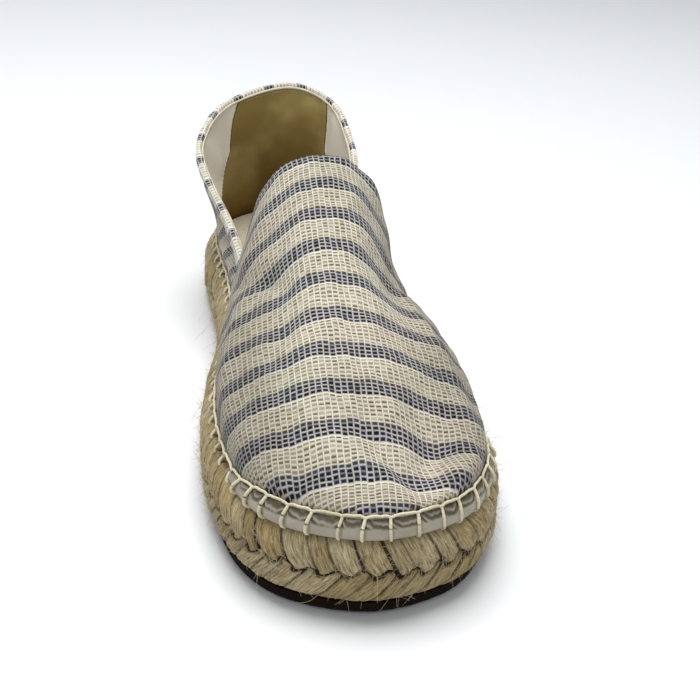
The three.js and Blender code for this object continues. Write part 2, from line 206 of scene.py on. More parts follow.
def above_sole(station, inset, height):
    """Point at a station, an inset from the jute's edge and a height over the underside."""
    plan = sole_edge(station, inset)
    return np.concatenate([plan, (height + lift_at(plan[..., 1]))[..., None]], -1)


print("tip of the toe:", above_sole(0.0, 0.0, 0.0).round(1))

# %% Millimetres round the sole
fine_station = np.linspace(0, ALL_STATIONS, 200 * ALL_STATIONS + 1)
fine_path = walked(sole_edge(fine_station))
AROUND = fine_path[-1]


def path_at(station):
    """Millimetres from the toe round the medial side to a station."""
    return np.interp(np.asarray(station) % ALL_STATIONS, fine_station, fine_path)


def station_at(path):
    """The station that lies so many millimetres from the toe, round the medial side."""
    return np.interp(np.asarray(path) % AROUND, fine_path, fine_station)


print("way round the sole:", round(AROUND), "mm")

# %% [markdown]
# ## The upper's wall
#
# Canvas that is drawn over a last stands up from the sole, swells and leans in to its free edge.
# One soft curve from the seam to the edge says all that, so each station gets its own: a foot, an
# edge and two handles between them, as on Blender's curve objects. A sculpted surface could look
# the same, but here lining, binding and threads can be placed on the very same wall.

# %% Height of the seam, and where the toe strip ends
RAND_MEDIAL, RAND_LATERAL = 2.9, 3.7  # stations from the toe
RAND_TAPER = 0.45  # the share of each side over which the strip tapers off


def rand_share(station):
    """1 where the toe strip has its full height, 0 past its ends."""
    station = np.asarray(station, float) % ALL_STATIONS
    lateral = station > HEEL_STATION
    from_toe = np.where(lateral, ALL_STATIONS - station, station)
    end = np.where(lateral, RAND_LATERAL, RAND_MEDIAL)
    return smooth((end - from_toe) / (end * RAND_TAPER), 0, 1)


def strip_scale(station):
    """The toe strip's size, from 1 down to a fifth at its thin ends."""
    return 0.2 + 0.8 * rand_share(station) ** 0.5


def seam_height(station):
    """Where the wall starts over the upper's foot: on the toe strip it starts higher."""
    return SEAM_HIGH + (RAND_HIGH + SEAT - SEAM_HIGH) * rand_share(station)


print("at the toe the wall starts", round(float(seam_height(0.0)), 1), "mm over the upper's foot")

# %% Free edges and furrows
SLACK, SLACK_AT, SLACK_SPREAD = 5.0, 7.5, 0.75  # worn soft, the collar leans in: mm, stations


def furrow(rows, x, y):
    """How deep (mm) a furrow presses the vamp in at a place."""
    along = y / LENGTH + 0.5
    middle, spread, depth = (np.interp(along, rows[:, 0], rows[:, k]) for k in (1, 2, 3))
    off = (x - middle * BALL_WIDTH) / (spread * BALL_WIDTH)
    return INSTEP * depth * np.exp(-off * off)


def free_edge(station, vamp):
    """Point of the vamp's or the collar's free edge."""
    if vamp:
        share = np.minimum(np.abs(station) / NOTCH, 1)
        medial, lateral = (along_curve(e, share) for e in (VAMP_EDGE_MEDIAL, VAMP_EDGE_LATERAL))
        rows, top = np.where((np.asarray(station) < 0)[..., None], lateral, medial), INSTEP
    else:
        share = (station - NOTCH) / (ALL_STATIONS - 2 * NOTCH)
        rows, top = along_curve(COLLAR_EDGE, np.clip(share, 0, 1)), HEEL
    across, along, high = np.moveaxis(rows, -1, 0)
    edge = np.stack([across * BALL_WIDTH, (along - 0.5) * LENGTH, high * top], -1)
    if not vamp:
        edge[..., 0] += SLACK * np.exp(-(((station - SLACK_AT) / SLACK_SPREAD) ** 2))
    return edge


print("the vamp's notch:", free_edge(np.array(NOTCH), True).round(1))


# %% The wall's outer face and its direction outwards
def wall_face(station, share, vamp):
    """A point of the upper's outer face. Share 0 is the seam with the sole, 1 the free edge."""
    station, share = np.broadcast_arrays(np.asarray(station, float), np.asarray(share, float))
    lateral = station < 0 if vamp else station > HEEL_STATION
    from_toe = np.abs(station) if vamp else np.where(lateral, ALL_STATIONS - station, station)
    handles = along_curve(HANDLES, from_toe / HEEL_STATION)
    rise, swell, reach, drop, tuck = np.moveaxis(handles, -1, 0)
    drawn_in = np.where(lateral, tuck * BALL_WIDTH, 0)
    seam = UPPER_FOOT + seam_height(station)
    foot, edge = above_sole(station, SEAM_INSET, seam), free_edge(station, vamp)
    first_inset = SEAM_INSET - swell * BALL_WIDTH + drawn_in / 2
    first = above_sole(station, first_inset, seam + rise * INSTEP)
    second = edge + (foot - edge) * reach[..., None]
    second[..., 0] -= drawn_in
    second[..., 2] = edge[..., 2] - drop * INSTEP
    t = share[..., None]
    point = (1 - t) ** 3 * foot + 3 * t * (1 - t) ** 2 * first
    point = point + 3 * t * t * (1 - t) * second + t**3 * edge
    if vamp:
        sunk = furrow(LATERAL_FURROW, point[..., 0], point[..., 1])
        sunk = sunk + furrow(MEDIAL_FURROW, point[..., 0], point[..., 1])
        point[..., 2] -= sunk * smooth(share, 0, 0.3)
    return point


NEAR = 0.02  # a small step, in stations and in shares of the wall


def wall_normal(station, share, vamp):
    """The direction that points straight out of the wall."""
    station, share = np.broadcast_arrays(np.asarray(station, float), np.asarray(share, float))
    low, high = (-NOTCH, NOTCH) if vamp else (NOTCH, ALL_STATIONS - NOTCH)
    along = wall_face(np.minimum(station + NEAR, high), share, vamp) - wall_face(
        np.maximum(station - NEAR, low), share, vamp)
    up = wall_face(station, np.minimum(share + NEAR, 1), vamp) - wall_face(
        station, np.maximum(share - NEAR, 0), vamp)
    out = np.cross(up, along)
    return out / np.linalg.norm(out, axis=-1, keepdims=True)


print("top of the vamp:", wall_face(0.0, 1.0, True).round(1))

# %% [markdown]
# ## The camera
#
# The shoe was photographed from the toe end and from above, a little to its medial side. The
# camera stands where it stood and turns to this one shoe. The shoe could be brought nearer instead,
# but that would change its perspective, so a longer lens fills the frame.


# %% Camera
def put(name, data):
    """Places a new object, made of a mesh, a light or a camera, in the scene."""
    made = bpy.data.objects.new(name, data)
    bpy.context.scene.collection.objects.link(made)
    return made


CAMERA_AT = np.array([-67.84, -419.36, 239.0])
LOOK = np.array([0.16648, 0.8743, -0.45595])
ROLL = 4.0  # degrees, because the photograph shows the shoe off its middle
SENSOR = 36.0  # mm
PHOTO_FOCAL, PHOTO_WIDE = 750, 700  # the photograph's focal length and width, in pixels
LENS_ZOOM = 1.575  # how much longer than the photograph's own lens
camera = put("camera", bpy.data.cameras.new("camera"))
camera.location = CAMERA_AT * MM
facing = Vector(LOOK).to_track_quat("-Z", "Y")
rolled = Quaternion((0, 0, 1), math.radians(ROLL))
camera.rotation_euler = (facing @ rolled).to_euler()
camera.data.lens = SENSOR * PHOTO_FOCAL / PHOTO_WIDE * LENS_ZOOM
camera.data.sensor_width = SENSOR
camera.data.clip_start = 0.01
bpy.context.scene.camera = camera
print("lens:", round(camera.data.lens, 1), "mm")

# %% [markdown]
# ## Colours and nodes
#
# Colours are easiest to compare as the hex values of a picture, but Blender mixes light in linear
# numbers, so one function turns them over. A finish is a small tree of nodes. It could be put
# together by hand in the shader editor. In a script, one function adds a node with its settings and
# with what feeds its inputs, and every finish below is built with it.


# %% From a hex colour to linear light
def linear(hex_colour):
    """sRGB hex to the linear colour that Blender's shaders work in."""
    parts = [int(hex_colour[k : k + 2], 16) / 255 for k in (1, 3, 5)]
    light = (c / 12.92 if c <= 0.04045 else ((c + 0.055) / 1.055) ** 2.4 for c in parts)
    return tuple(light) + (1.0,)


print("half-way grey #808080 gives", round(linear("#808080")[0], 3), "of the light of white")


# %% The one function that adds a node
def add(tree, kind, links=(), **settings):
    """Adds a node: its settings, then its inputs, each a value, a colour or another node."""
    made = tree.nodes.new(kind)
    for name, value in settings.items():
        setattr(made, name, value)
    for name, value in dict(links).items():
        inputs = [s for s in made.inputs if s.enabled]
        if isinstance(name, int):
            socket = inputs[name]
        else:
            socket = next(s for s in inputs if s.name == name)
        if isinstance(value, bpy.types.Node):
            value = next(s for s in value.outputs if s.enabled)
        if isinstance(value, bpy.types.NodeSocket):
            tree.links.new(value, socket)
        else:
            socket.default_value = linear(value) if isinstance(value, str) else value
    return made


def finish(name):
    """An empty material, ready for nodes, and its tree."""
    material = bpy.data.materials.new(name)
    material.use_nodes = True
    material.node_tree.nodes.clear()
    return material, material.node_tree


# %% [markdown]
# ## Floor and light
#
# The shoe stands on a white table. Light in a product photograph comes from large soft boxes. A sun
# or a lamp would cast hard shadows, so there is one large area light overhead, a second one from
# the front left, and a pale surrounding that fills the rest.

# %% The white table
FLOOR_HALF, FLOOR_HIGH = 6.0, -0.0002  # metres; a hair below the sole, so that they don't flicker
ways = ((-1, -1), (1, -1), (1, 1), (-1, 1))
corners = [(x * FLOOR_HALF, y * FLOOR_HALF, FLOOR_HIGH) for x, y in ways]
sheet = bpy.data.meshes.new("floor")
sheet.from_pydata(corners, [], [(0, 1, 2, 3)])
floor = put("floor", sheet)
# Matt white paper: its rough fibres scatter the light evenly, so it shows hardly any gloss
paper, tree = finish("white_table")
shade = add(tree, "ShaderNodeBsdfPrincipled", {
    "Base Color": "#E4E5E6", "Roughness": 0.7, "Specular IOR Level": 0.2,
})
add(tree, "ShaderNodeOutputMaterial", {"Surface": shade})
floor.data.materials.append(paper)
print("table:", 2 * FLOOR_HALF, "m wide")

# %% Soft boxes and the pale surrounding
world = bpy.data.worlds.new("studio")
bpy.context.scene.world = world
world.use_nodes = True
background = world.node_tree.nodes["Background"]
background.inputs["Color"].default_value = linear("#EEF2F6")
background.inputs["Strength"].default_value = 0.48
bpy.context.scene.view_settings.view_transform = "Standard"


def soft_box(name, place, aim, size, watts):
    """A rectangular area light at a place (m), turned to what it lights."""
    light = bpy.data.lights.new(name, "AREA")
    light.shape, light.size, light.size_y, light.energy = "RECTANGLE", size[0], size[1], watts
    box = put(name, light)
    box.location = place
    box.rotation_euler = (Vector(aim) - Vector(place)).to_track_quat("-Z", "Y").to_euler()
    print(f"{name}: {watts} W")


soft_box("overhead_box", (-0.08, 0.12, 1.2), (0, 0, 0.03), (0.8, 0.8), 16)
soft_box("front_box", (-0.3, -1.2, 1.0), (0, 0, 0.04), (0.9, 0.9), 3)

# %% [markdown]
# ## Making meshes from grids
#
# Every piece here is a grid of points bent over the shoe's curves: columns go round, rows go up.
# Modelling by hand would give the same faces one by one. A helper turns a whole grid into a mesh,
# with a flat map in millimetres for its pattern, and a second one turns a path into a round thread.


# %% From points to a mesh
def mesh_piece(name, points, faces, flat=None):
    """A mesh object from points in mm and faces of one size. flat: each point's pattern place."""
    mesh = bpy.data.meshes.new(name)
    count, sides = faces.shape
    mesh.vertices.add(len(points))
    mesh.vertices.foreach_set("co", (points * MM).astype(np.float32).ravel())
    mesh.loops.add(count * sides)
    mesh.loops.foreach_set("vertex_index", faces.astype(np.int32).ravel())
    mesh.polygons.add(count)
    mesh.polygons.foreach_set("loop_start", np.arange(0, count * sides, sides, dtype=np.int32))
    mesh.polygons.foreach_set("use_smooth", np.full(count, True))
    mesh.update(calc_edges=True)
    if flat is not None:
        layer = mesh.uv_layers.new(name="UVMap")
        layer.data.foreach_set("uv", flat[faces.ravel()].astype(np.float32).ravel())
    mesh.validate()
    print(f"{name}: {count * (sides - 2)} triangles")
    return put(name, mesh)


def mark_points(piece, name, values):
    """Gives each point of a piece a number that its finish can read."""
    layer = piece.data.attributes.new(name, "FLOAT", "POINT")
    layer.data.foreach_set("value", values.astype(np.float32).ravel())


# %% From a grid to a mesh
def grid_faces(columns, rows, close_rows=False, close_columns=False):
    """Squares between neighbours of a grid, closed to a ring where asked."""
    index = np.arange(columns * rows).reshape(columns, rows)
    a, b = (index, np.roll(index, -1, 0)) if close_columns else (index[:-1], index[1:])
    if close_rows:
        a2, b2 = np.roll(a, -1, 1), np.roll(b, -1, 1)
    else:
        a, b, a2, b2 = a[:, :-1], b[:, :-1], a[:, 1:], b[:, 1:]
    return np.stack([a, a2, b2, b], -1).reshape(-1, 4)


def grid_piece(name, points, flat=None, **closed):
    """points: (columns, rows, 3) in mm. flat: (columns, rows, 2), the pattern's place on it."""
    if flat is not None:
        flat = flat.reshape(-1, 2)
    return mesh_piece(name, points.reshape(-1, 3), grid_faces(*points.shape[:2], **closed), flat)


print("a grid of 3 by 3 points has", len(grid_faces(3, 3)), "faces")


# %% From paths to round threads
def tubes(name, paths, radii, sides=6):
    """Many round threads as one mesh. paths: (threads, points, 3) in mm, radii: one or for each."""
    paths = np.asarray(paths, float)
    threads, count = paths.shape[:2]
    radii = np.broadcast_to(radii, (threads, count))
    ahead = np.gradient(paths, axis=1)
    ahead /= np.linalg.norm(ahead, axis=-1, keepdims=True) + 1e-9
    guide = np.where(np.abs(ahead[..., 2:3]) < 0.9, np.array([0.0, 0, 1]), np.array([1.0, 0, 0]))
    side = np.cross(ahead, guide)
    side /= np.linalg.norm(side, axis=-1, keepdims=True)
    third = np.cross(ahead, side)
    turn = 2 * np.pi * np.arange(sides) / sides
    ring = side[:, :, None] * np.cos(turn)[:, None] + third[:, :, None] * np.sin(turn)[:, None]
    points = paths[:, :, None] + ring * radii[:, :, None, None]
    index = np.arange(threads * count * sides).reshape(threads, count, sides)
    a, b = index[:, :-1], index[:, 1:]
    faces = np.stack([a, np.roll(a, -1, 2), np.roll(b, -1, 2), b], -1).reshape(-1, 4)
    steps = np.linalg.norm(np.diff(paths, axis=1), axis=-1)
    length = np.concatenate([np.zeros((threads, 1)), np.cumsum(steps, 1)], 1)
    flat = np.stack(np.broadcast_arrays(length[:, :, None], (turn / (2 * np.pi))[None, None]), -1)
    return mesh_piece(name, points.reshape(-1, 3), faces, flat.reshape(-1, 2))


# %% [markdown]
# ## The canvas upper
#
# The vamp is one piece of striped cotton cloth drawn over the last. Woven cloth that has been worn
# lies in soft folds. A cloth simulation would lay folds of its own, but these belong to this shoe,
# so each is listed: a line on the cloth, how wide it is, and how high or deep.

# %% Creases of the vamp
CREASES = [  # height (mm, negative is a trough), half width (mm), places along it on the cloth (mm)
    (1.5, 6.0, [(-41, -104, 42), (-42.5, -80, 43), (-42, -63, 49), (-39, -46, 54), (-33, -28, 60)]),
    (-2.6, 9.0, [(-24, -120, 46), (-30, -108, 49), (-30, -90, 55), (-29, -65, 60), (-25, -48, 64)]),
    (-1.9, 3.6, [(-2, -112, 49), (5.7, -121.9, 43.9), (13.2, -130.1, 40.2), (16, -134, 37.5)]),
    (0.9, 4.5, [(-9, -115, 48), (-2, -123, 45), (6, -131, 41)]),
    (-1.3, 5.0, [(17.5, -104, 49), (19, -114, 45), (17, -124, 42), (15, -132, 38)]),
    (0.8, 5.0, [(27, -106, 44), (26, -117, 41), (22, -127, 38)]),
    (-1.0, 4.0, [(33, -98, 43), (37, -106, 40), (39, -112, 37)]),
    (-1.4, 4.0, [(-38, -12, 56), (-35.6, -18.3, 57.8), (-26.8, -31.1, 64.1), (-20.1, -44.6, 67.7)]),
    (0.9, 4.5, [(-33, -7, 62), (-25, -20, 69), (-17, -33, 73)]),
    (-1.0, 4.0, [(-41, -22, 51), (-42, -33, 49), (-41, -44, 50)]),
    (-1.3, 5.0, [(24, 4, 64), (26.7, -4.5, 60.7), (32.8, -27.8, 53.4), (38.1, -52.8, 47.9)]),
    (0.9, 5.0, [(17, -8, 72), (23, -30, 64), (30, -52, 57), (35, -72, 52)]),
    (-0.9, 5.0, [(8, -62, 68), (20, -74, 60), (31, -84, 52)]),
    (0.6, 7.0, [(-12, -60, 70), (-4, -82, 63), (0, -100, 55)]),
]


def away_from(points, line):
    """Distance (mm) of points from a line through given places, and 0 to 1 along it."""
    line = np.asarray(line, float)
    best, along = np.full(points.shape[:-1], 1e9), np.zeros(points.shape[:-1])
    for k, (a, b) in enumerate(zip(line[:-1], line[1:])):
        part = np.clip(((points - a) @ (b - a)) / ((b - a) @ (b - a)), 0, 1)
        far = np.linalg.norm(points - a - part[..., None] * (b - a), axis=-1)
        along = np.where(far < best, (k + part) / (len(line) - 1), along)
        best = np.minimum(best, far)
    return best, along


def crease_height(points):
    """How far the cloth stands out (mm): the creases, and the soft unevenness of worn cloth."""
    total = np.zeros(points.shape[:-1])
    for height, half_width, line in CREASES:
        far, along = away_from(points, line)
        total += height * np.exp(-((far / half_width) ** 2)) * (0.45 + 0.55 * np.sin(np.pi * along))
    x, y, z = np.moveaxis(points, -1, 0)
    total += 0.22 * np.sin(0.31 * x + 0.17 * y + 1.0) * np.sin(0.23 * y - 0.19 * z)
    total += 0.16 * np.sin(0.52 * x - 0.33 * y + 2.0) + 0.1 * np.sin(0.9 * y + 0.4 * x)
    return total


print(len(CREASES), "creases")

# %% [markdown]
# ## Stripes of the vamp
#
# The stripes lie straight across the shoe, each in one upright plane, because the cloth was cut on
# the square. A flat map could be unwrapped by Blender, but it would not know where the real stripes
# lie. So the map's second number counts the stripes by the place along the shoe, and its first is
# the way round from the ridge. Near the seam the cloth was pulled back in two places, and there the
# stripes bend.

# %% Where the stripes lie
REPEAT, ROW_COUNT, NAVY_ROWS = 16.7, 10.0, 4.0  # mm of one repeat, its rows, and the navy ones
STRIPES_Y = np.array([  # the middle of each stripe along the ridge, from the toe
    -137.0, -126.6, -111.1, -95.4, -80, -63.6, -46.6, -30.7, -15.8, -1, 12.4, 27.0,
])


def stripe_count(y):
    """Which stripe a place along the shoe belongs to: whole numbers are the middles of stripes."""
    ridge = wall_face(0.0, np.linspace(0, 1, 400), True)
    walk = walked(ridge)
    far = np.concatenate([[-150], ridge[:, 1], [40]])  # the ends reach past the wall
    walk = np.concatenate([[walk[0] - 20], walk, [walk[-1] + 26]])
    middles, number = np.interp(STRIPES_Y, far, walk), np.arange(len(STRIPES_Y), 0, -1.0)
    half = 0.5 * NAVY_ROWS / ROW_COUNT
    borders = np.stack([middles - half * REPEAT, middles + half * REPEAT], 1).ravel()
    borders = np.concatenate([[borders[0] - 10], borders, [borders[-1] + 10]])
    count = np.stack([number + half, number - half], 1).ravel()
    count = np.concatenate([[count[0] + 0.6], count, [count[-1] - 0.6]])
    return np.interp(np.interp(y, far, walk), borders, count)


print("stripe at the ball of the foot:", stripe_count(-60.0).round(1))

# %% Sections of a panel of the upper
COLUMNS, ROWS, LINING_ROWS, HEM_ROWS = 230, 96, 34, 6


def creased(station, share, vamp, proud):
    """Points of the wall and their directions outwards. The vamp has its creases."""
    normal = wall_normal(station[:, None], share, vamp)
    face = wall_face(station[:, None], share, vamp)
    face = face + normal * (proud * np.minimum(1, 3 * share))[..., None]
    if vamp:
        face = face + normal * (crease_height(face) * smooth(share, 0.02, 0.14))[..., None]
    return face, normal


def panel_sections(station, top, proud, vamp):
    """One closed section per station: outer face, round the edge, lining and the hidden foot."""
    share = np.linspace(0, 1, ROWS) * top[:, None]
    lining_share = np.linspace(1, 0, LINING_ROWS) * top[:, None]
    outer, _ = creased(station, share, vamp, proud)
    lining, normal = creased(station, lining_share, vamp, 0.0)
    lining = lining - WALL * normal
    start, end = outer[:, -1], lining[:, 0]
    middle, half = (start + end) / 2, (start - end) / 2
    up = wall_face(station, top, vamp) - wall_face(station, top - NEAR, vamp)
    up /= np.linalg.norm(up, axis=-1, keepdims=True)
    over = (up * np.linalg.norm(half, axis=-1, keepdims=True))[:, None]
    around = np.linspace(0, np.pi, HEM_ROWS + 2)[1:-1, None]
    hem = middle[:, None] + half[:, None] * np.cos(around) + over * np.sin(around)
    hem = hem - over * 0.6
    foot_out = above_sole(station, SEAM_INSET, UPPER_FOOT)[:, None]
    foot_in = above_sole(station, SEAM_INSET + WALL, UPPER_FOOT)[:, None]
    return np.concatenate([foot_out, outer, hem, lining, foot_in], 1), share, lining_share


vamp_station = np.linspace(-NOTCH, NOTCH, COLUMNS)
vamp_points, _, _ = panel_sections(vamp_station, np.ones(COLUMNS), LAP, True)
print("vamp grid:", vamp_points.shape)

# %% The vamp's flat map
VAMP_FROM, VAMP_TO = -141, 13.6  # places along the shoe between which the ridge rises (mm)


def vamp_way(station, points):
    """Way round from the ridge (mm), for a (columns, rows) grid of points."""
    level = np.linspace(VAMP_FROM, VAMP_TO, 240)
    walls = wall_face(station[:, None], np.linspace(0, 1, 120), True)
    x, z = (np.array([np.interp(level, w[:, 1], w[:, k]) for w in walls]) for k in (0, 2))
    steps = np.hypot(np.diff(x, axis=0), np.diff(z, axis=0))
    way = np.concatenate([np.zeros((1, len(level))), np.cumsum(steps, 0)])
    way -= way[np.argmin(np.abs(station))]
    y = points[..., 1]
    inner = np.array([np.interp(np.minimum(row, VAMP_TO), level, w) for row, w in zip(y, way)])
    return inner - np.sign(station)[:, None] * np.clip(y - VAMP_TO, 0, None) * 1.2


PULLED_BACK = np.array([  # station, millimetres that a stripe lies further back at the seam
    (-6.6, 0), (-4.2, 0), (-3.5, 9), (-3.2, 7), (-2.1, -1), (-1.5, 1.5), (0, 0),
    (1, 0), (1.7, 2.5), (2.75, 7), (3.3, 8), (3.9, 2), (6.6, 0),
])
pulled_back = np.interp(vamp_station, PULLED_BACK[:, 0], PULLED_BACK[:, 1])
near_seam = np.zeros(vamp_points.shape[1])
near_seam[: ROWS + 1] = np.concatenate([[1], 1 - smooth(np.linspace(0, 1, ROWS), 0, 0.4)])
drawn_y = vamp_points[..., 1] - pulled_back[:, None] * near_seam
vamp_flat = np.stack([vamp_way(vamp_station, vamp_points), stripe_count(drawn_y)], -1)
across = vamp_flat[..., 0]
print("cloth across the vamp:", across.min().round(), "to", across.max().round(), "mm")

# %% [markdown]
# ## The heel piece
#
# The heel piece runs from notch to notch round the heel, and its stripes stand upright, because the
# cloth was turned a quarter before it was cut. Worn without care, it has folded over beside the
# medial notch. That fold could be sculpted. Two soft waves across the wall are enough for it, and
# both faces of the cloth follow the same numbers, so they never cut through each other.

# %% The heel piece's grid and map
NOTCH_GAP = 0.06  # stations between a notch and the heel piece's own end
BELOW_COLLAR = 1.7  # mm from the collar's edge down to the cloth that the binding hides
FOLD_AT, FOLD_SPREAD = 7.3, 0.55  # stations
heel_station = np.linspace(NOTCH + NOTCH_GAP, ALL_STATIONS - NOTCH - NOTCH_GAP, COLUMNS)


def wall_height(station):
    """How tall the heel piece is at a station, measured along the cloth."""
    walls = wall_face(station[:, None], np.linspace(0, 1, 40), False)
    return np.linalg.norm(np.diff(walls, axis=1), axis=-1).sum(1)


def heel_fold(share):
    """How far the worn heel piece stands out from its plain form, in mm."""
    by_notch = np.exp(-(((heel_station - FOLD_AT) / FOLD_SPREAD) ** 2))[:, None]
    bulge = 1.6 * np.exp(-(((share - 0.3) / 0.16) ** 2))
    bulge = bulge - 2.6 * np.exp(-(((share - 0.66) / 0.13) ** 2))
    return by_notch * bulge + 0.3 * np.sin(heel_station * 6.0)[:, None] * np.sin(np.pi * share)


heel_top = 1 - BELOW_COLLAR / wall_height(heel_station)
heel_points, heel_share, heel_lining = panel_sections(heel_station, heel_top, 0.0, False)
heel_out = wall_normal(heel_station[:, None], heel_share, False)
heel_points[:, 1 : ROWS + 1] += heel_out * heel_fold(heel_share)[..., None]
climb = np.linalg.norm(np.diff(heel_points, axis=1), axis=-1)
up_the_cloth = np.concatenate([np.zeros((COLUMNS, 1)), np.cumsum(climb, 1)], 1)
stripes_round = (path_at(heel_station) / REPEAT)[:, None] + 0.35
heel_flat = np.stack(np.broadcast_arrays(up_the_cloth, stripes_round), -1)
print("heel piece grid:", heel_points.shape)

# %% [markdown]
# ## The striped cloth
#
# The cloth is a coarse, open plain weave of unbleached cotton with bands of navy weft. Seen close,
# it is a grid: bright cream warp threads run up it every 2 mm, paler lines part the rows, and
# between them lie small oblong floats of weft, beige in the ground and navy in the stripes. There
# are ten rows to a repeat of 16.7 mm, and four of them are navy. The pattern could be a picture,
# but a grid that is worked out from the flat map stays sharp at any size. Each float gets its own
# chance number, because hand-spun yarn is thick and thin and some floats nearly vanish.

# %% The grid of the weave
COLUMN_PITCH = 2.04  # mm between two warp threads


def weave(tree, navy_rows, navy_to):
    """The cloth's grid from the flat map. Past navy_to (mm across) no stripe shows."""
    flat = add(tree, "ShaderNodeSeparateXYZ", {0: add(tree, "ShaderNodeUVMap", uv_map="UVMap")})
    # Threads are never quite straight or even: the whole grid drifts, and each column slips a bit
    place = add(tree, "ShaderNodeTexCoord").outputs["Object"]
    drift = add(tree, "ShaderNodeTexNoise", {"Vector": place, "Scale": 90.0, "Detail": 2.0})
    drift = add(tree, "ShaderNodeSeparateXYZ", {0: drift.outputs["Color"]})
    u = add(tree, "ShaderNodeMath", {0: flat.outputs[0], 1: COLUMN_PITCH}, operation="DIVIDE")
    u = add(tree, "ShaderNodeMath", {0: drift.outputs[0], 1: 0.55, 2: u}, operation="MULTIPLY_ADD")
    v = add(tree, "ShaderNodeMath", {0: flat.outputs[1], 1: ROW_COUNT}, operation="MULTIPLY")
    v = add(tree, "ShaderNodeMath", {0: drift.outputs[1], 1: 0.9, 2: v}, operation="MULTIPLY_ADD")
    column = add(tree, "ShaderNodeMath", {0: u}, operation="FLOOR")
    slip = add(tree, "ShaderNodeTexWhiteNoise", {"W": column}, noise_dimensions="1D")
    v = add(tree, "ShaderNodeMath", {
        0: slip.outputs["Value"], 1: 0.28, 2: v,
    }, operation="MULTIPLY_ADD")
    row = add(tree, "ShaderNodeMath", {0: v}, operation="FLOOR")
    line = add(tree, "ShaderNodeMath", {0: v}, operation="ROUND")
    # Chance numbers for each float, and for each line that parts two rows
    float_at = add(tree, "ShaderNodeCombineXYZ", {0: column, 1: row, 2: 0.0})
    line_at = add(tree, "ShaderNodeCombineXYZ", {0: column, 1: line, 2: 7.0})
    chance = add(tree, "ShaderNodeTexWhiteNoise", {"Vector": float_at}, noise_dimensions="3D")
    line_chance = add(tree, "ShaderNodeTexWhiteNoise", {"Vector": line_at}, noise_dimensions="3D")
    # Masks: the warp threads, the lines that part the rows, and the middle of each float
    to_warp = add(tree, "ShaderNodeMath", {0: u, 1: 0.5}, operation="PINGPONG")
    to_line = add(tree, "ShaderNodeMath", {0: v, 1: 0.5}, operation="PINGPONG")
    warp = add(tree, "ShaderNodeMapRange", {
        "Value": to_warp, "From Min": 0.03, "From Max": 0.22, "To Min": 1.0, "To Max": 0.0,
    }, interpolation_type="SMOOTHSTEP")
    parting = add(tree, "ShaderNodeMapRange", {
        "Value": to_line, "From Min": 0.06, "From Max": 0.3, "To Min": 1.0, "To Max": 0.0,
    }, interpolation_type="SMOOTHSTEP")
    middle = add(tree, "ShaderNodeMapRange", {
        "Value": to_line, "From Min": 0.21, "From Max": 0.38,
    }, interpolation_type="SMOOTHSTEP")
    # Stripes: the first rows of each repeat, up to where the cloth is turned in
    phase = add(tree, "ShaderNodeMath", {0: v, 1: navy_rows / 2}, operation="ADD")
    phase = add(tree, "ShaderNodeMath", {0: phase, 1: ROW_COUNT}, operation="FLOORED_MODULO")
    stripe = add(tree, "ShaderNodeMath", {0: phase, 1: navy_rows}, operation="LESS_THAN")
    kept = add(tree, "ShaderNodeMath", {0: flat.outputs[0], 1: navy_to}, operation="LESS_THAN")
    stripe = add(tree, "ShaderNodeMath", {0: stripe, 1: kept}, operation="MULTIPLY")
    first_row = add(tree, "ShaderNodeMath", {0: phase, 1: 1.0}, operation="LESS_THAN")
    border = add(tree, "ShaderNodeMath", {
        0: phase, 1: navy_rows + 0.12, 2: 0.26,
    }, operation="COMPARE")
    return {
        "place": place, "across": flat.outputs[0], "warp": warp, "parting": parting,
        "stripe": stripe, "first_row": first_row, "border": border, "middle": middle,
        "chance": chance, "line_chance": line_chance.outputs["Value"],
    }
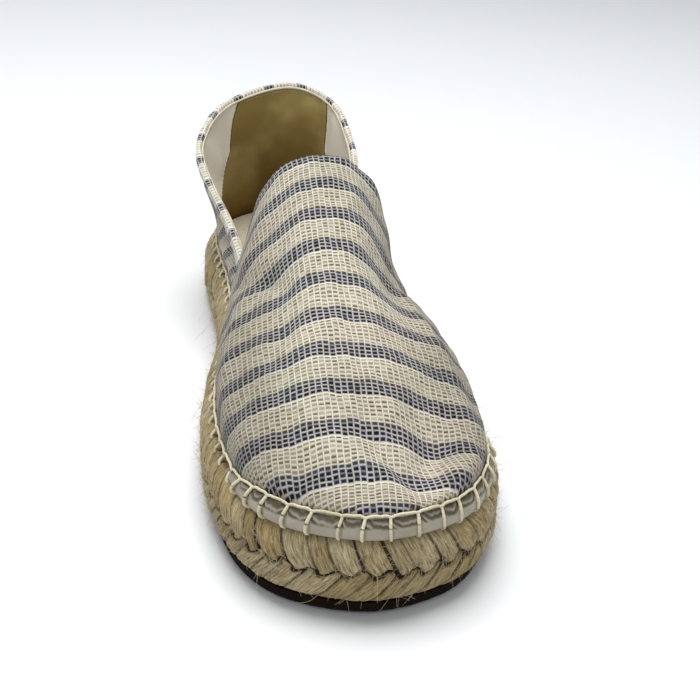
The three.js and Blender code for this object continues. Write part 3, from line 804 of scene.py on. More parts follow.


# %% [markdown]
# ## The finish of the cloth
#
# Cotton canvas is woven and never coated. Its fibres scatter the light in all directions, so the
# eye sees a dry, matt cloth with no gloss, a faint bloom at its edges, and dirt where it was
# handled. Away from the vamp's ridge and up the heel piece it is painted darker: painted shade. A
# scanned cloth picture could be laid on instead, but here each thread takes its own tone: cream
# warp, beige and navy floats, and painted shade in the holes between them. Cotton's IOR of about
# 1.5 stays, its fuzz hides nearly all reflection, and roughness starts at 0.9. Real fibres are 0.02
# mm
# thick: the fuzz of 0.45 mm that is drawn here is the finest that still shows.


# %% Striped cotton canvas
def striped_cloth(name, cream, ground, navy, grime_and_side_shade, navy_rows=NAVY_ROWS, navy_to=400.0):
    """A canvas finish. cream and navy are each a dark and a light sRGB hex colour; ground adds a
    third, painted shade for the holes.
    """
    material, tree = finish(name)
    grid = weave(tree, navy_rows, navy_to)
    place = grid["place"]
    # Colours of the single threads: cream warp, and floats with painted shade in the holes beside
    # them
    chances = add(tree, "ShaderNodeSeparateXYZ", {0: grid["chance"].outputs["Color"]})
    slub = add(tree, "ShaderNodeTexNoise", {"Vector": place, "Scale": 900.0, "Detail": 3.0})
    thread = add(tree, "ShaderNodeMix", {
        "Factor": slub, "A": cream[0], "B": cream[1],
    }, data_type="RGBA")
    floats = add(tree, "ShaderNodeMix", {
        "Factor": chances.outputs[0], "A": ground[0], "B": ground[1],
    }, data_type="RGBA")
    # Painted shade in the holes: the middle of each float is darkened, by chance, towards ground's
    # third colour
    hole_shade = add(tree, "ShaderNodeMapRange", {
        "Value": chances.outputs[1], "From Min": 0.0, "From Max": 0.9, "To Min": 0.3,
        "To Max": 1.0,
    })
    hole_shade = add(tree, "ShaderNodeMath", {0: hole_shade, 1: grid["middle"]}, operation="MULTIPLY")
    floats = add(tree, "ShaderNodeMix", {
        "Factor": hole_shade, "A": floats, "B": ground[2],
    }, data_type="RGBA")
    # Navy floats, each dyed a little differently; the first row of a stripe is faint
    dyed = add(tree, "ShaderNodeMath", {0: chances.outputs[2], 1: 2.0}, operation="POWER")
    navy_float = add(tree, "ShaderNodeMix", {
        "Factor": dyed, "A": navy[0], "B": navy[1],
    }, data_type="RGBA")
    faint = add(tree, "ShaderNodeMath", {0: grid["first_row"], 1: 0.18}, operation="MULTIPLY")
    navy_float = add(tree, "ShaderNodeMix", {
        "Factor": faint, "A": navy_float, "B": "#7C7B72",
    }, data_type="RGBA")
    colour = add(tree, "ShaderNodeMix", {
        "Factor": grid["stripe"], "A": floats, "B": navy_float,
    }, data_type="RGBA")
    # Cream lines over the floats, stained blue where they cross a stripe
    strong = add(tree, "ShaderNodeMapRange", {
        "Value": grid["line_chance"], "From Min": 0.0, "From Max": 0.4, "To Min": 0.25,
        "To Max": 0.95,
    })
    parting = add(tree, "ShaderNodeMath", {0: grid["parting"], 1: strong}, operation="MULTIPLY")
    full = add(tree, "ShaderNodeMath", {
        0: grid["stripe"], 1: 0.35, 2: 0.65,
    }, operation="MULTIPLY_ADD")
    parting = add(tree, "ShaderNodeMath", {0: parting, 1: full}, operation="MULTIPLY")
    mask = add(tree, "ShaderNodeMath", {0: parting, 1: grid["warp"]}, operation="MAXIMUM")
    mask = add(tree, "ShaderNodeMath", {0: mask, 1: grid["border"]}, operation="MAXIMUM")
    stained = add(tree, "ShaderNodeMath", {0: grid["stripe"], 1: 0.4}, operation="MULTIPLY")
    thread = add(tree, "ShaderNodeMix", {
        "Factor": stained, "A": thread, "B": "#686D84",
    }, data_type="RGBA")
    colour = add(tree, "ShaderNodeMix", {
        "Factor": mask, "A": colour, "B": thread,
    }, data_type="RGBA")
    # Broad tints, spots of grime, and painted shade that grows away from the vamp's ridge and up
    # the heel piece
    tint = add(tree, "ShaderNodeTexNoise", {"Vector": place, "Scale": 22.0, "Detail": 3.0})
    tinted = add(tree, "ShaderNodeMix", {
        "Factor": tint, "A": "#EDF3E9", "B": "#FFF0ED",
    }, data_type="RGBA")
    colour = add(tree, "ShaderNodeMix", {
        "Factor": 1.0, "A": colour, "B": tinted,
    }, data_type="RGBA", blend_type="MULTIPLY")
    spots = add(tree, "ShaderNodeTexNoise", {
        "Vector": place, "Scale": 34.0, "Detail": 5.0, "Roughness": 0.6,
    })
    grime = add(tree, "ShaderNodeMapRange", {
        "Value": spots, "From Min": 0.45, "From Max": 0.8, "To Min": 0.0, "To Max": grime_and_side_shade,
    })
    colour = add(tree, "ShaderNodeMix", {
        "Factor": grime, "A": colour, "B": "#756A55",
    }, data_type="RGBA", blend_type="MULTIPLY")
    # Painted shade: far across the map the cloth is darkened, as the walls turn from the light
    side_shade = add(tree, "ShaderNodeMath", {0: grid["across"]}, operation="ABSOLUTE")
    side_shade = add(tree, "ShaderNodeMapRange", {
        "Value": side_shade, "From Min": 14.0, "From Max": 42.0, "To Min": 0.0,
        "To Max": grime_and_side_shade,
    }, interpolation_type="SMOOTHSTEP")
    colour = add(tree, "ShaderNodeMix", {
        "Factor": side_shade, "A": colour, "B": "#5F5848",
    }, data_type="RGBA", blend_type="MULTIPLY")
    # Threads stand up from the floats, with fuzz on all of them
    fuzz = add(tree, "ShaderNodeTexNoise", {"Vector": place, "Scale": 2200.0, "Detail": 1.0})
    height = add(tree, "ShaderNodeMath", {0: fuzz, 1: 0.25, 2: mask}, operation="MULTIPLY_ADD")
    bump = add(tree, "ShaderNodeBump", {"Height": height, "Strength": 0.7, "Distance": 0.0004})
    shade = add(tree, "ShaderNodeBsdfPrincipled", {
        "Base Color": colour, "Roughness": 0.93, "Specular IOR Level": 0.12, "Sheen Weight": 0.08,
        "Normal": bump,
    })
    add(tree, "ShaderNodeOutputMaterial", {"Surface": shade})
    return material


canvas = striped_cloth(
    "striped_cotton_canvas", ("#B8B7A9", "#F5F3E8"), ("#A7A08C", "#CDC9BA", "#5D533E"),
    ("#060A1A", "#1C2645"), 0.35,
)
print("a stripe is", NAVY_ROWS * REPEAT / ROW_COUNT, "mm wide")

# %% [markdown]
# ## The lining and the heel patch
#
# Inside, the heel piece is lined with smooth calico, and a patch of olive-brown suede is sewn over
# it at the back, where the heel rubs. The patch could be a mesh of its own, but one so thin would
# cut through the lining. It narrows upwards, so its two seams are given as stations at five
# heights. A number on each point, its distance from the seam, lets one material change from calico
# to suede along a clean line, and the suede also stands a little proud.

# %% Where the patch lies
PATCH_SEAMS = np.array([  # share of the wall's height, medial seam, lateral seam
    (0.0, 8.5, 13.3), (0.22, 8.96, 12.75), (0.59, 9.96, 11.95), (0.98, 10.34, 11.77),
    (1.0, 10.36, 11.76),
])


def patch_reach(station, share):
    """Millimetres inside the patch: above 0 it is suede, below 0 calico."""
    medial, lateral = (np.interp(share, PATCH_SEAMS[:, 0], PATCH_SEAMS[:, k]) for k in (1, 2))
    return np.minimum(station - medial, lateral - station) * AROUND / ALL_STATIONS * 0.9


print("the patch reaches", patch_reach(11.0, 0.5).round(), "mm beside the heel's middle")

# %% [markdown]
# ## The finish of the lining
#
# Calico is plain cotton, woven fine and washed: smooth, matt and warm white, and grey where it was
# touched. Suede is leather whose flesh side was buffed to a nap. The nap swallows light, so the
# eye sees deep, soft colour without gloss, greasy in blotches; low in the heel cup it is painted
# darker, as painted shade. Both start from an IOR of 1.5 and a roughness of 0.9. Two materials
# could be used, but one that mixes them by the distance from the seam also draws the seam. The
# nap's grain is 0.1 mm on real suede and is drawn 0.9 mm coarse, as far as it shows.

# %% Lining material
lining, tree = finish("calico_lining_and_suede_patch")
place = add(tree, "ShaderNodeTexCoord").outputs["Object"]
reach = add(tree, "ShaderNodeAttribute", attribute_name="patch").outputs["Fac"]
ragged = add(tree, "ShaderNodeTexNoise", {"Vector": place, "Scale": 500.0, "Detail": 2.0})
edge = add(tree, "ShaderNodeMath", {0: ragged, 1: 0.5, 2: reach}, operation="MULTIPLY_ADD")
suede_here = add(tree, "ShaderNodeMapRange", {"Value": edge, "From Min": 0.1, "From Max": 0.4})
seam_line = add(tree, "ShaderNodeMath", {0: edge, 1: 0.2, 2: 0.28}, operation="COMPARE")
# The calico, and the suede with greasy blotches, painted darker low in the heel cup as painted
# shade
grain = add(tree, "ShaderNodeTexNoise", {"Vector": place, "Scale": 1100.0, "Detail": 2.0})
worn = add(tree, "ShaderNodeTexNoise", {"Vector": place, "Scale": 40.0, "Detail": 4.0})
calico = add(tree, "ShaderNodeMix", {
    "Factor": worn, "A": "#DDD4C2", "B": "#FCF8EE",
}, data_type="RGBA")
# Painted shade: the suede is darkest at the bottom of the heel cup and palest at its top
high = add(tree, "ShaderNodeSeparateXYZ", {0: place})
sunk = add(tree, "ShaderNodeMapRange", {
    "Value": high.outputs[2], "From Min": 0.03, "From Max": 0.085,
})
suede = add(tree, "ShaderNodeMix", {
    "Factor": sunk, "A": "#5E430C", "B": "#C8B478",
}, data_type="RGBA")
blotch = add(tree, "ShaderNodeTexNoise", {"Vector": place, "Scale": 26.0, "Detail": 3.0})
blotch = add(tree, "ShaderNodeMapRange", {
    "Value": blotch, "From Min": 0.38, "From Max": 0.62,
}, interpolation_type="SMOOTHSTEP")
suede_worn = add(tree, "ShaderNodeMix", {
    "Factor": blotch, "A": "#FFFFFF", "B": "#A79A78",
}, data_type="RGBA")
suede = add(tree, "ShaderNodeMix", {
    "Factor": 0.8, "A": suede, "B": suede_worn,
}, data_type="RGBA", blend_type="MULTIPLY")
tone = add(tree, "ShaderNodeMix", {"Factor": suede_here, "A": calico, "B": suede}, data_type="RGBA")
tone = add(tree, "ShaderNodeMix", {
    "Factor": seam_line, "A": tone, "B": "#5E4C26",
}, data_type="RGBA")
bump = add(tree, "ShaderNodeBump", {"Height": grain, "Strength": 0.35, "Distance": 0.0003})
shade = add(tree, "ShaderNodeBsdfPrincipled", {
    "Base Color": tone, "Roughness": 0.9, "Specular IOR Level": 0.12, "Normal": bump,
})
add(tree, "ShaderNodeOutputMaterial", {"Surface": shade})
print("lining:", len(tree.nodes), "nodes")

# %% [markdown]
# ## Joining the two panels
#
# Vamp and heel piece are sewn to one upper, so they become one mesh. The lining follows the outer
# cloth's fold, hangs a little loose between its seams, and stands out where the patch lies on it.
# Blender's Join would do it too, but here both grids go into one list of points and faces, each
# point with its mark for the lining.

# %% The lining's fold, its slack and the patch's thickness
PATCH_THICK = 0.5
lining_from = ROWS + HEM_ROWS + 1
heel_reach = patch_reach(heel_station[:, None], heel_lining)
heel_in = wall_normal(heel_station[:, None], heel_lining, False)
inward = PATCH_THICK * smooth(heel_reach, -0.2, 0.5) - heel_fold(heel_lining)
heel_points[:, lining_from:-1] -= heel_in * inward[..., None]
slack = smooth(heel_lining, 0.15, 0.5) * (1 - smooth(heel_lining, 0.85, 1.0))
slack = slack * (1 - smooth(heel_reach, -6, 0))
loose = 0.8 * np.sin(heel_station * 5.3 + 0.8)[:, None] * slack
loose = loose + 0.4 * np.sin(heel_station[:, None] * 9.0 + 6 * heel_lining) * slack
heel_points[:, lining_from:-1] -= heel_in * loose[..., None]
print("the lining hangs loose by up to", loose.max().round(1), "mm")

# %% Vamp and heel piece as one mesh
FAR_OFF = -20.0  # mark of points that lie nowhere near the patch
panels = vamp_points, heel_points
first_heel = len(vamp_points) * vamp_points.shape[1]
panel = grid_faces(*vamp_points.shape[:2], close_rows=True)
upper = mesh_piece(
    "canvas_upper",
    np.concatenate([p.reshape(-1, 3) for p in panels]),
    np.concatenate([panel, panel + first_heel]),
    np.concatenate([vamp_flat.reshape(-1, 2), heel_flat.reshape(-1, 2)]),
)
patch_mark = np.full((2,) + vamp_points.shape[:2], FAR_OFF)
patch_mark[1, :, lining_from:-1] = heel_reach
mark_points(upper, "patch", patch_mark)
inside = np.where(np.arange(vamp_points.shape[1]) >= lining_from - 2, 1, 0)
for material in (canvas, lining):
    upper.data.materials.append(material)
lined = np.tile(inside, 2 * (COLUMNS - 1)).astype(np.int32)
upper.data.polygons.foreach_set("material_index", lined)
print("lining faces:", lined.sum())
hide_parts("upper")
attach(upper, "root")

# %% [markdown]
# ## The collar binding
#
# A strip of the same cloth, cut along the selvedge, is folded over the raw edge of the heel piece
# and sewn through. Its navy rows cross the strip, so they show as short dashes, one to a repeat.
# A bevelled curve could be laid along the collar, but a folded section that is swept round it can
# hug both faces of the wall and pucker a little, as sewn cloth does.

# %% Collar binding
BIND_GAP = 0.12  # stations between a notch and the binding's own end
BIND_SECTION = np.array([  # down from the edge, inwards from the outer face
    (5.5, 0.0), (5.6, -0.45), (4.4, -0.72), (3.0, -0.75), (1.6, -0.72), (0.6, -0.5), (0.1, 0.2),
    (0.0, 0.8), (0.1, 1.4), (0.4, 1.9), (0.9, 2.2), (1.5, 2.32), (2.1, 2.3), (2.6, 2.1), (2.6, 1.6),
])
bind_station = np.linspace(NOTCH + BIND_GAP, ALL_STATIONS - NOTCH - BIND_GAP, 520)
tall = wall_height(bind_station)
down, inwards = BIND_SECTION.T
share = 1 - down / tall[:, None]
pucker = 0.16 * np.sin(bind_station * 17.0 + np.sin(bind_station * 5.1) * 2)[:, None]
deep = inwards + pucker * (inwards != 0) * np.sign(inwards - 0.8)
bind_normal = wall_normal(bind_station[:, None], share, False)
bind_points = wall_face(bind_station[:, None], share, False) - bind_normal * deep[..., None]
edge_path = walked(free_edge(bind_station, False))
across_strip, stripes_along = walked(BIND_SECTION)[None], edge_path[:, None] / REPEAT
bind_flat = np.stack(np.broadcast_arrays(across_strip, stripes_along), -1)
binding = grid_piece("collar_tape", bind_points, bind_flat, close_rows=True)

# %% The binding's cloth
# The same woven cotton, but close and clean: paler threads, three navy rows, little grime and
# little painted shade
tape = striped_cloth(
    "cotton_binding_strip", ("#D6D4CD", "#F6F5F0"), ("#C4C1B7", "#E4E2DA", "#9D9787"),
    ("#0C1228", "#2C3554"), 0.15, 3.0, 9.6,
)
binding.data.materials.append(tape)
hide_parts("collar_binding")
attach(binding, "root")
print("binding round the collar:", round(edge_path[-1]), "mm")

# %% [markdown]
# ## Cream yarn, and the cord along the collar
#
# A thin cream cord lies along the binding's inner edge. It and the sewing threads are cotton yarn,
# spun and then twisted from two plies: soft, slightly waxed, with a dull sheen on each ply and
# painted shade in the groove between them. The plies could be modelled as two tubes, but at 1 mm
# across a round tube with a turning bump shows the same. The real twist of about 1.3 mm a turn is
# kept. Cotton's IOR stays at 1.5, and the wax brings roughness down to 0.85.

# %% Cream cord along the binding's inner edge
CORD_GAP = 0.16  # stations between a notch and the cord's own end
CORD_DOWN, CORD_IN, CORD_RADIUS = 2.1, 2.35, 0.55  # from the edge, from the outer face
cord_station = np.linspace(NOTCH + CORD_GAP, ALL_STATIONS - NOTCH - CORD_GAP, 420)
cord_share = 1 - CORD_DOWN / np.interp(cord_station, bind_station, tall)
cord_normal = wall_normal(cord_station, cord_share, False)
cord_line = wall_face(cord_station, cord_share, False) - cord_normal * CORD_IN
piping = tubes("collar_cord", cord_line[None], CORD_RADIUS, 8)

# %% Twisted cotton yarn
yarn, tree = finish("twisted_cotton_yarn")
flat = add(tree, "ShaderNodeSeparateXYZ", {0: add(tree, "ShaderNodeUVMap", uv_map="UVMap")})
turns = add(tree, "ShaderNodeMath", {
    0: flat.outputs[0], 1: 0.75, 2: flat.outputs[1],
}, operation="MULTIPLY_ADD")
ply = add(tree, "ShaderNodeMath", {0: turns, 1: 0.5}, operation="PINGPONG")
place = add(tree, "ShaderNodeTexCoord").outputs["Object"]
soiled = add(tree, "ShaderNodeTexNoise", {"Vector": place, "Scale": 90.0, "Detail": 3.0})
tone = add(tree, "ShaderNodeMix", {
    "Factor": soiled, "A": "#B5AA86", "B": "#F1E9D0",
}, data_type="RGBA")
# Painted shade in the groove between the two plies
groove_shade = add(tree, "ShaderNodeMapRange", {
    "Value": ply, "From Min": 0.0, "From Max": 0.2, "To Min": 0.25, "To Max": 0.0,
})
tone = add(tree, "ShaderNodeMix", {"Factor": groove_shade, "A": tone, "B": "#8F8460"}, data_type="RGBA")
bump = add(tree, "ShaderNodeBump", {"Height": ply, "Strength": 0.3, "Distance": 0.0004})
shade = add(tree, "ShaderNodeBsdfPrincipled", {
    "Base Color": tone, "Roughness": 0.85, "Specular IOR Level": 0.2, "Normal": bump,
})
add(tree, "ShaderNodeOutputMaterial", {"Surface": shade})
piping.data.materials.append(yarn)
print("yarn:", len(tree.nodes), "nodes")
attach(piping, "root")

# %% [markdown]
# ## The jute sole
#
# The side of the sole is a flat plait of jute, wound round and round. On its face two rows of
# strands meet: the upper ones come nearly straight down, the lower ones slant away at half a right
# angle, and where they tuck under each other a dark zigzag runs along the middle. Hundreds of bent
# cylinders could stand for the strands, but matted jute has no clean gaps between them. So one grid
# goes round the sole, and its columns lean with the strands: roundness, gaps and fibres follow.

# %% Strands of the braid
STRANDS = 2 * round(AROUND / STRAND / 2)
PER_STRAND, JUTE_LEVELS = 16, 46
JUTE_COLUMNS = STRANDS * PER_STRAND
LOWER_LEAN = 9.0  # mm that a lower strand leans over its height
LEVELS = np.array([  # height, out, relief
    (0, RIM - UNDERCUT - 1, 0), (0.04, -0.6, 0.6), (0.1, 0.6, 0.9), (0.2, BULGE, 1),
    (0.4, BULGE, 1), (0.5, BULGE - 0.5, 1), (0.6, BULGE, 1), (0.73, BULGE * 0.9, 1),
    (0.85, BULGE * 0.4, 0.9), (0.93, -0.6, 0.6), (1, -RIM, 0),
])
high = np.linspace(0, 1, JUTE_LEVELS)
out, relief = (np.interp(high, LEVELS[:, 0], LEVELS[:, k]) for k in (1, 2))
lower_lean = STRAND_LEAN - LOWER_LEAN * (0.5 - high) / 0.5
lean = np.where(high > 0.5, STRAND_LEAN * (1 - high) / 0.5, lower_lean)
way = np.arange(JUTE_COLUMNS) / PER_STRAND  # counted in strands
print(STRANDS, "strands, each", round(AROUND / STRANDS, 1), "mm wide")

# %% [markdown]
# ## No two strands alike
#
# Jute is twisted by machine but plaited loosely, so the gaps between strands are shifted, and each
# strand has its own depth and colour. A modifier with noise would blur over the gaps. Drawing one
# number for each strand keeps every strand whole. The draws start from a fixed seed, so the shoe
# comes out the same each time.

# %% Chance numbers of the strands
rng = np.random.default_rng(11)


def uneven(count, much):
    """Where each gap between strands lies: a whole number, shifted by chance."""
    shift = rng.uniform(-much, much, count)
    gaps = np.arange(count) + shift
    return np.concatenate([gaps, [count + shift[0]]])


gaps = {True: uneven(STRANDS, 0.22), False: uneven(STRANDS, 0.26)}  # True is the upper row
depth_of = {row: rng.uniform(-0.35, 0.35, STRANDS) for row in gaps}
tone_of = {row: rng.uniform(0, 1, STRANDS) for row in gaps}
zigzag = 0.5 + 0.06 * np.cos(2 * np.pi * (way - 0.1))
zigzag = zigzag + 0.025 * np.sin(way * 1.7) + 0.015 * np.sin(way * 5.3)
print("zigzag between", zigzag.min().round(2), "and", zigzag.max().round(2), "of the height")


# %% The two rows of strands
def strand_at(row):
    """Which strand of a row each column lies on, and 0 to 1 across that strand."""
    marks = gaps[row]
    counted = np.interp(way, marks, np.arange(STRANDS + 1), left=0, right=STRANDS)
    before_first = way + STRANDS - marks[-1] + STRANDS
    counted = np.where(way < marks[0], before_first, counted) % STRANDS
    return np.floor(counted).astype(int) % STRANDS, counted % 1


FIBRE_SHIFT, ROW_SHIFT = 31.7, 900.0  # mm on the flat map, so that no fibre runs on in a neighbour
jute_inset, jute_tone, jute_gap_shade, jute_across = np.zeros((4, JUTE_COLUMNS, JUTE_LEVELS))
for row in (True, False):
    strand, part = strand_at(row)
    tone = tone_of[row][strand]
    split = 0.3 * np.exp(-(((part - 0.3 - 0.4 * tone) / 0.06) ** 2))
    crown = np.abs(np.sin(np.pi * part)) ** 0.38 - split
    swell = STRAND_RELIEF * (1.15 * crown - 0.8) + depth_of[row][strand] * crown
    # Painted shade: dark in the hollows between the strands' crowns, stronger or weaker by chance
    hollow_shade = (1 - crown) * (0.7 + 0.5 * tone_of[row][strand - 3])
    across = part * STRAND + strand * FIBRE_SHIFT + ROW_SHIFT * row
    here = (high[None] > zigzag[:, None]) == row
    jute_inset[here] = -(swell[:, None] * relief[None])[here]
    for grid, value in ((jute_tone, tone), (jute_gap_shade, hollow_shade), (jute_across, across)):
        grid[here] = np.broadcast_to(value[:, None], here.shape)[here]
print("strands stand out by up to", round(float(-jute_inset.min()), 1), "mm")

# %% The tucks between the rows, their painted shade, and the points of the braid
off_zigzag = high[None] - zigzag[:, None]
tuck = np.exp(-((off_zigzag / 0.032) ** 2))
near_tuck = np.exp(-((off_zigzag / 0.16) ** 2))
jute_inset += 1.2 * tuck - (out[None] - BULGE)
# The painted shade of the gaps is deepest along the tucks
jute_gap_shade = np.maximum(jute_gap_shade * (0.85 + 0.3 * near_tuck), tuck * 1.05)
station = station_at(way[:, None] * AROUND / STRANDS - lean[None])
jute_points = above_sole(station, jute_inset, JUTE_FLOOR + high[None] * JUTE)
print("braid grid:", jute_points.shape)


# %% The braid's mesh
def with_caps(grid, pull=None):
    """Adds a row at the bottom and one at the top, drawn to the sole's middle line."""
    caps = [grid[:, :1].copy(), grid[:, -1:].copy()]
    if pull is not None:
        for cap in caps:
            cap[..., 0] *= pull
    return np.concatenate([caps[0], grid, caps[1]], 1)


jute_flat = np.stack(np.broadcast_arrays(jute_across, high[None] * JUTE * 1.15), -1)
jute = grid_piece(
    "jute_braid_sole", with_caps(jute_points, 0.02), with_caps(jute_flat), close_columns=True)
# The gap mark carries the painted shade of the hollows to the fibre's finish
for name, grid in (("strand_tone", jute_tone), ("strand_gap_shade", jute_gap_shade)):
    mark_points(jute, name, with_caps(grid))

# %% [markdown]
# ## Jute fibre
#
# Jute is a bast fibre: long, flat and stiff, pale gold to brown, and hardly spun. A strand shows
# many thin streaks along its length, with a faint silky gloss. The light streaks are partly the
# fibres' own straw and partly a painted highlight where fibres stand up, and the dark brown in the
# gaps is painted shade. Hair strands could draw each fibre, but a sole full of them renders slowly,
# so streaks of noise are stretched along the strands instead. Its IOR of about 1.5 stays, and its
# smooth fibres bring roughness down to 0.72. Real fibres are 0.1 mm thick, so they are drawn in
# bundles of about 0.35 mm.

# %% Plaited jute
BUNDLES = 2.6  # bundles of fibres in a millimetre
fibre, tree = finish("plaited_jute_fibre")
flat = add(tree, "ShaderNodeUVMap", uv_map="UVMap")
place = add(tree, "ShaderNodeTexCoord").outputs["Object"]
strand_tone = add(tree, "ShaderNodeAttribute", attribute_name="strand_tone").outputs["Fac"]
strand_gap_shade = add(tree, "ShaderNodeAttribute", attribute_name="strand_gap_shade").outputs["Fac"]
# Fibres waver a little, so the map is bent before any streak is drawn on it
waver = add(tree, "ShaderNodeTexNoise", {"Vector": place, "Scale": 150.0, "Detail": 1.0})
waver = add(tree, "ShaderNodeVectorMath", {
    0: waver.outputs["Color"], 1: (1.2, 0.0, 0.0),
}, operation="MULTIPLY")
bent = add(tree, "ShaderNodeVectorMath", {0: flat, 1: waver}, operation="ADD")
streak_at = add(tree, "ShaderNodeMapping", {"Vector": bent, "Scale": (BUNDLES, 0.16, 1.0)})
streaks = add(tree, "ShaderNodeTexNoise", {
    "Vector": streak_at, "Scale": 1.0, "Detail": 4.0, "Roughness": 0.65,
}, noise_dimensions="2D")
thin_at = add(tree, "ShaderNodeMapping", {"Vector": bent, "Scale": (7.0, 0.3, 1.0)})
thin = add(tree, "ShaderNodeTexNoise", {
    "Vector": thin_at, "Scale": 1.0, "Detail": 2.0,
}, noise_dimensions="2D")
# Streaks from brown to straw, each strand with its own tone, and thin dark lines between bundles
# The light streaks are partly the fibre's own straw and partly a painted highlight where the fibres
# stand up
level = add(tree, "ShaderNodeMapRange", {"Value": streaks, "From Min": 0.3, "From Max": 0.72})
tone = add(tree, "ShaderNodeMix", {
    "Factor": level, "A": "#B4965F", "B": "#FFFCDE",
}, data_type="RGBA")
own = add(tree, "ShaderNodeMix", {
    "Factor": strand_tone, "A": "#DDCDAC", "B": "#FFFAEE",
}, data_type="RGBA")
tone = add(tree, "ShaderNodeMix", {
    "Factor": 1.0, "A": tone, "B": own,
}, data_type="RGBA", blend_type="MULTIPLY")
line = add(tree, "ShaderNodeMapRange", {
    "Value": thin, "From Min": 0.3, "From Max": 0.48, "To Min": 0.5, "To Max": 0.0,
})
tone = add(tree, "ShaderNodeMix", {"Factor": line, "A": tone, "B": "#6B5838"}, data_type="RGBA")
# Painted shadows where the fibres are matted, and painted shade in the gaps between strands
matted_at = add(tree, "ShaderNodeMapping", {"Vector": bent, "Scale": (0.85, 0.17, 1.0)})
matted = add(tree, "ShaderNodeTexNoise", {
    "Vector": matted_at, "Scale": 1.0, "Detail": 5.0, "Roughness": 0.75,
}, noise_dimensions="2D")
shadows = add(tree, "ShaderNodeMapRange", {
    "Value": matted, "From Min": 0.34, "From Max": 0.5, "To Min": 0.85, "To Max": 0.0,
})
tone = add(tree, "ShaderNodeMix", {"Factor": shadows, "A": tone, "B": "#75613F"}, data_type="RGBA")
deep = add(tree, "ShaderNodeMapRange", {
    "Value": strand_gap_shade, "From Min": 0.3, "From Max": 0.72, "To Min": 0.0, "To Max": 0.97,
})
tone = add(tree, "ShaderNodeMix", {"Factor": deep, "A": tone, "B": "#33240E"}, data_type="RGBA")
# Fibres stand up where the streaks are light
height = add(tree, "ShaderNodeMath", {0: thin, 1: 0.5, 2: streaks}, operation="MULTIPLY_ADD")
height = add(tree, "ShaderNodeMath", {0: matted, 1: 1.2, 2: height}, operation="MULTIPLY_ADD")
bump = add(tree, "ShaderNodeBump", {"Height": height, "Strength": 0.9, "Distance": 0.0012})
shade = add(tree, "ShaderNodeBsdfPrincipled", {
    "Base Color": tone, "Roughness": 0.72, "Specular IOR Level": 0.3, "Normal": bump,
})
add(tree, "ShaderNodeOutputMaterial", {"Surface": shade})
jute.data.materials.append(fibre)
print("fibre bundles:", round(1 / BUNDLES, 2), "mm")
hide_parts("jute_sole")
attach(jute, "root")

# %% [markdown]
# ## Loose jute hairs
#
# Fibre ends work loose from jute and stand out as pale hairs. They break up the clean outline, so
# they are real thin threads here and not a pattern. Blender's hair could grow them, but an exported
# part keeps only meshes. Each starts on the braid, points outwards and along, and bends a little
# under its own weight. Real ends are under 0.1 mm thick and far more: these are fewer and coarser.

# %% Where the hairs grow
HAIRS, HAIR_POINTS = 4200, 6
LONG_SHARE = 0.008  # the share of hairs that reach far out
rng = np.random.default_rng(23)
long_hair = rng.random(HAIRS) < LONG_SHARE
reach = np.where(long_hair, rng.uniform(6, 12, HAIRS), rng.uniform(1.5, 5, HAIRS))
hair_way = rng.uniform(0, AROUND, HAIRS)
hair_high = rng.uniform(0.13, 0.92, HAIRS)
hair_inset = BULGE - np.interp(hair_high, LEVELS[:, 0], LEVELS[:, 1])
root = above_sole(station_at(hair_way), hair_inset + 0.2, JUTE_FLOOR + hair_high * JUTE)
tip = np.column_stack([sole_edge(station_at(hair_way), hair_inset - 1.0), root[:, 2]])
outwards = tip - root
outwards /= np.linalg.norm(outwards, axis=1, keepdims=True)
sideways = np.column_stack([-outwards[:, 1], outwards[:, 0], np.zeros(HAIRS)])
print(long_hair.sum(), "of", HAIRS, "hairs reach far out")

# %% How the hairs point and bend
out_part = np.where(long_hair, 0.5, rng.uniform(0.0, 0.14, HAIRS))
side_part = rng.normal(0, 0.6, HAIRS)
aim = outwards * out_part[:, None] + sideways * side_part[:, None]
aim[:, 2] += rng.normal(-0.05, 0.7, HAIRS)
aim /= np.linalg.norm(aim, axis=1, keepdims=True)
curl = rng.normal(0, 0.35, (HAIRS, 3))
step = np.linspace(0, 1, HAIR_POINTS)[None, :, None]
long_by = reach[:, None, None]
hair_paths = root[:, None] + aim[:, None] * long_by * step + curl[:, None] * long_by * step**2
hair_paths[..., 2] = np.maximum(hair_paths[..., 2], 0.3)  # no hair goes through the floor
hair_radius = np.where(long_hair, 0.08, 0.07)[:, None] * np.linspace(1, 0.5, HAIR_POINTS)[None]
hairs = tubes("loose_jute_hairs", hair_paths, hair_radius, 3)

# %% Single jute fibre
# A single fibre is smooth and slightly waxy, so it glints more than the matted sole: roughness 0.5
straw, tree = finish("single_jute_fibre")
shine = add(tree, "ShaderNodeTexNoise", {
    "Vector": add(tree, "ShaderNodeTexCoord").outputs["Object"], "Scale": 80.0,
})
tone = add(tree, "ShaderNodeMix", {
    "Factor": shine, "A": "#A8946A", "B": "#E6DAB9",
}, data_type="RGBA")
shade = add(tree, "ShaderNodeBsdfPrincipled", {
    "Base Color": tone, "Roughness": 0.5, "Specular IOR Level": 0.4,
})
add(tree, "ShaderNodeOutputMaterial", {"Surface": shade})
hairs.data.materials.append(straw)
print("single fibre:", len(tree.nodes), "nodes")
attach(hairs, "root")

# %% [markdown]
# ## Where the stitches stand
#
# The upper is sewn to the jute by hand, every 9 mm, and a hand never sews quite evenly. The places
# are needed before the stitches themselves, because the rubber strip puckers between them. An array
# modifier would set them evenly, so each place is shifted by a small chance number.

# %% Where the stitches stand
STITCH_PITCH = 9.0  # mm
STITCHES = round(AROUND / STITCH_PITCH)
rng = np.random.default_rng(31)
stitch_way = (np.arange(STITCHES) + 0.5 + rng.uniform(-0.1, 0.1, STITCHES)) / STITCHES * AROUND


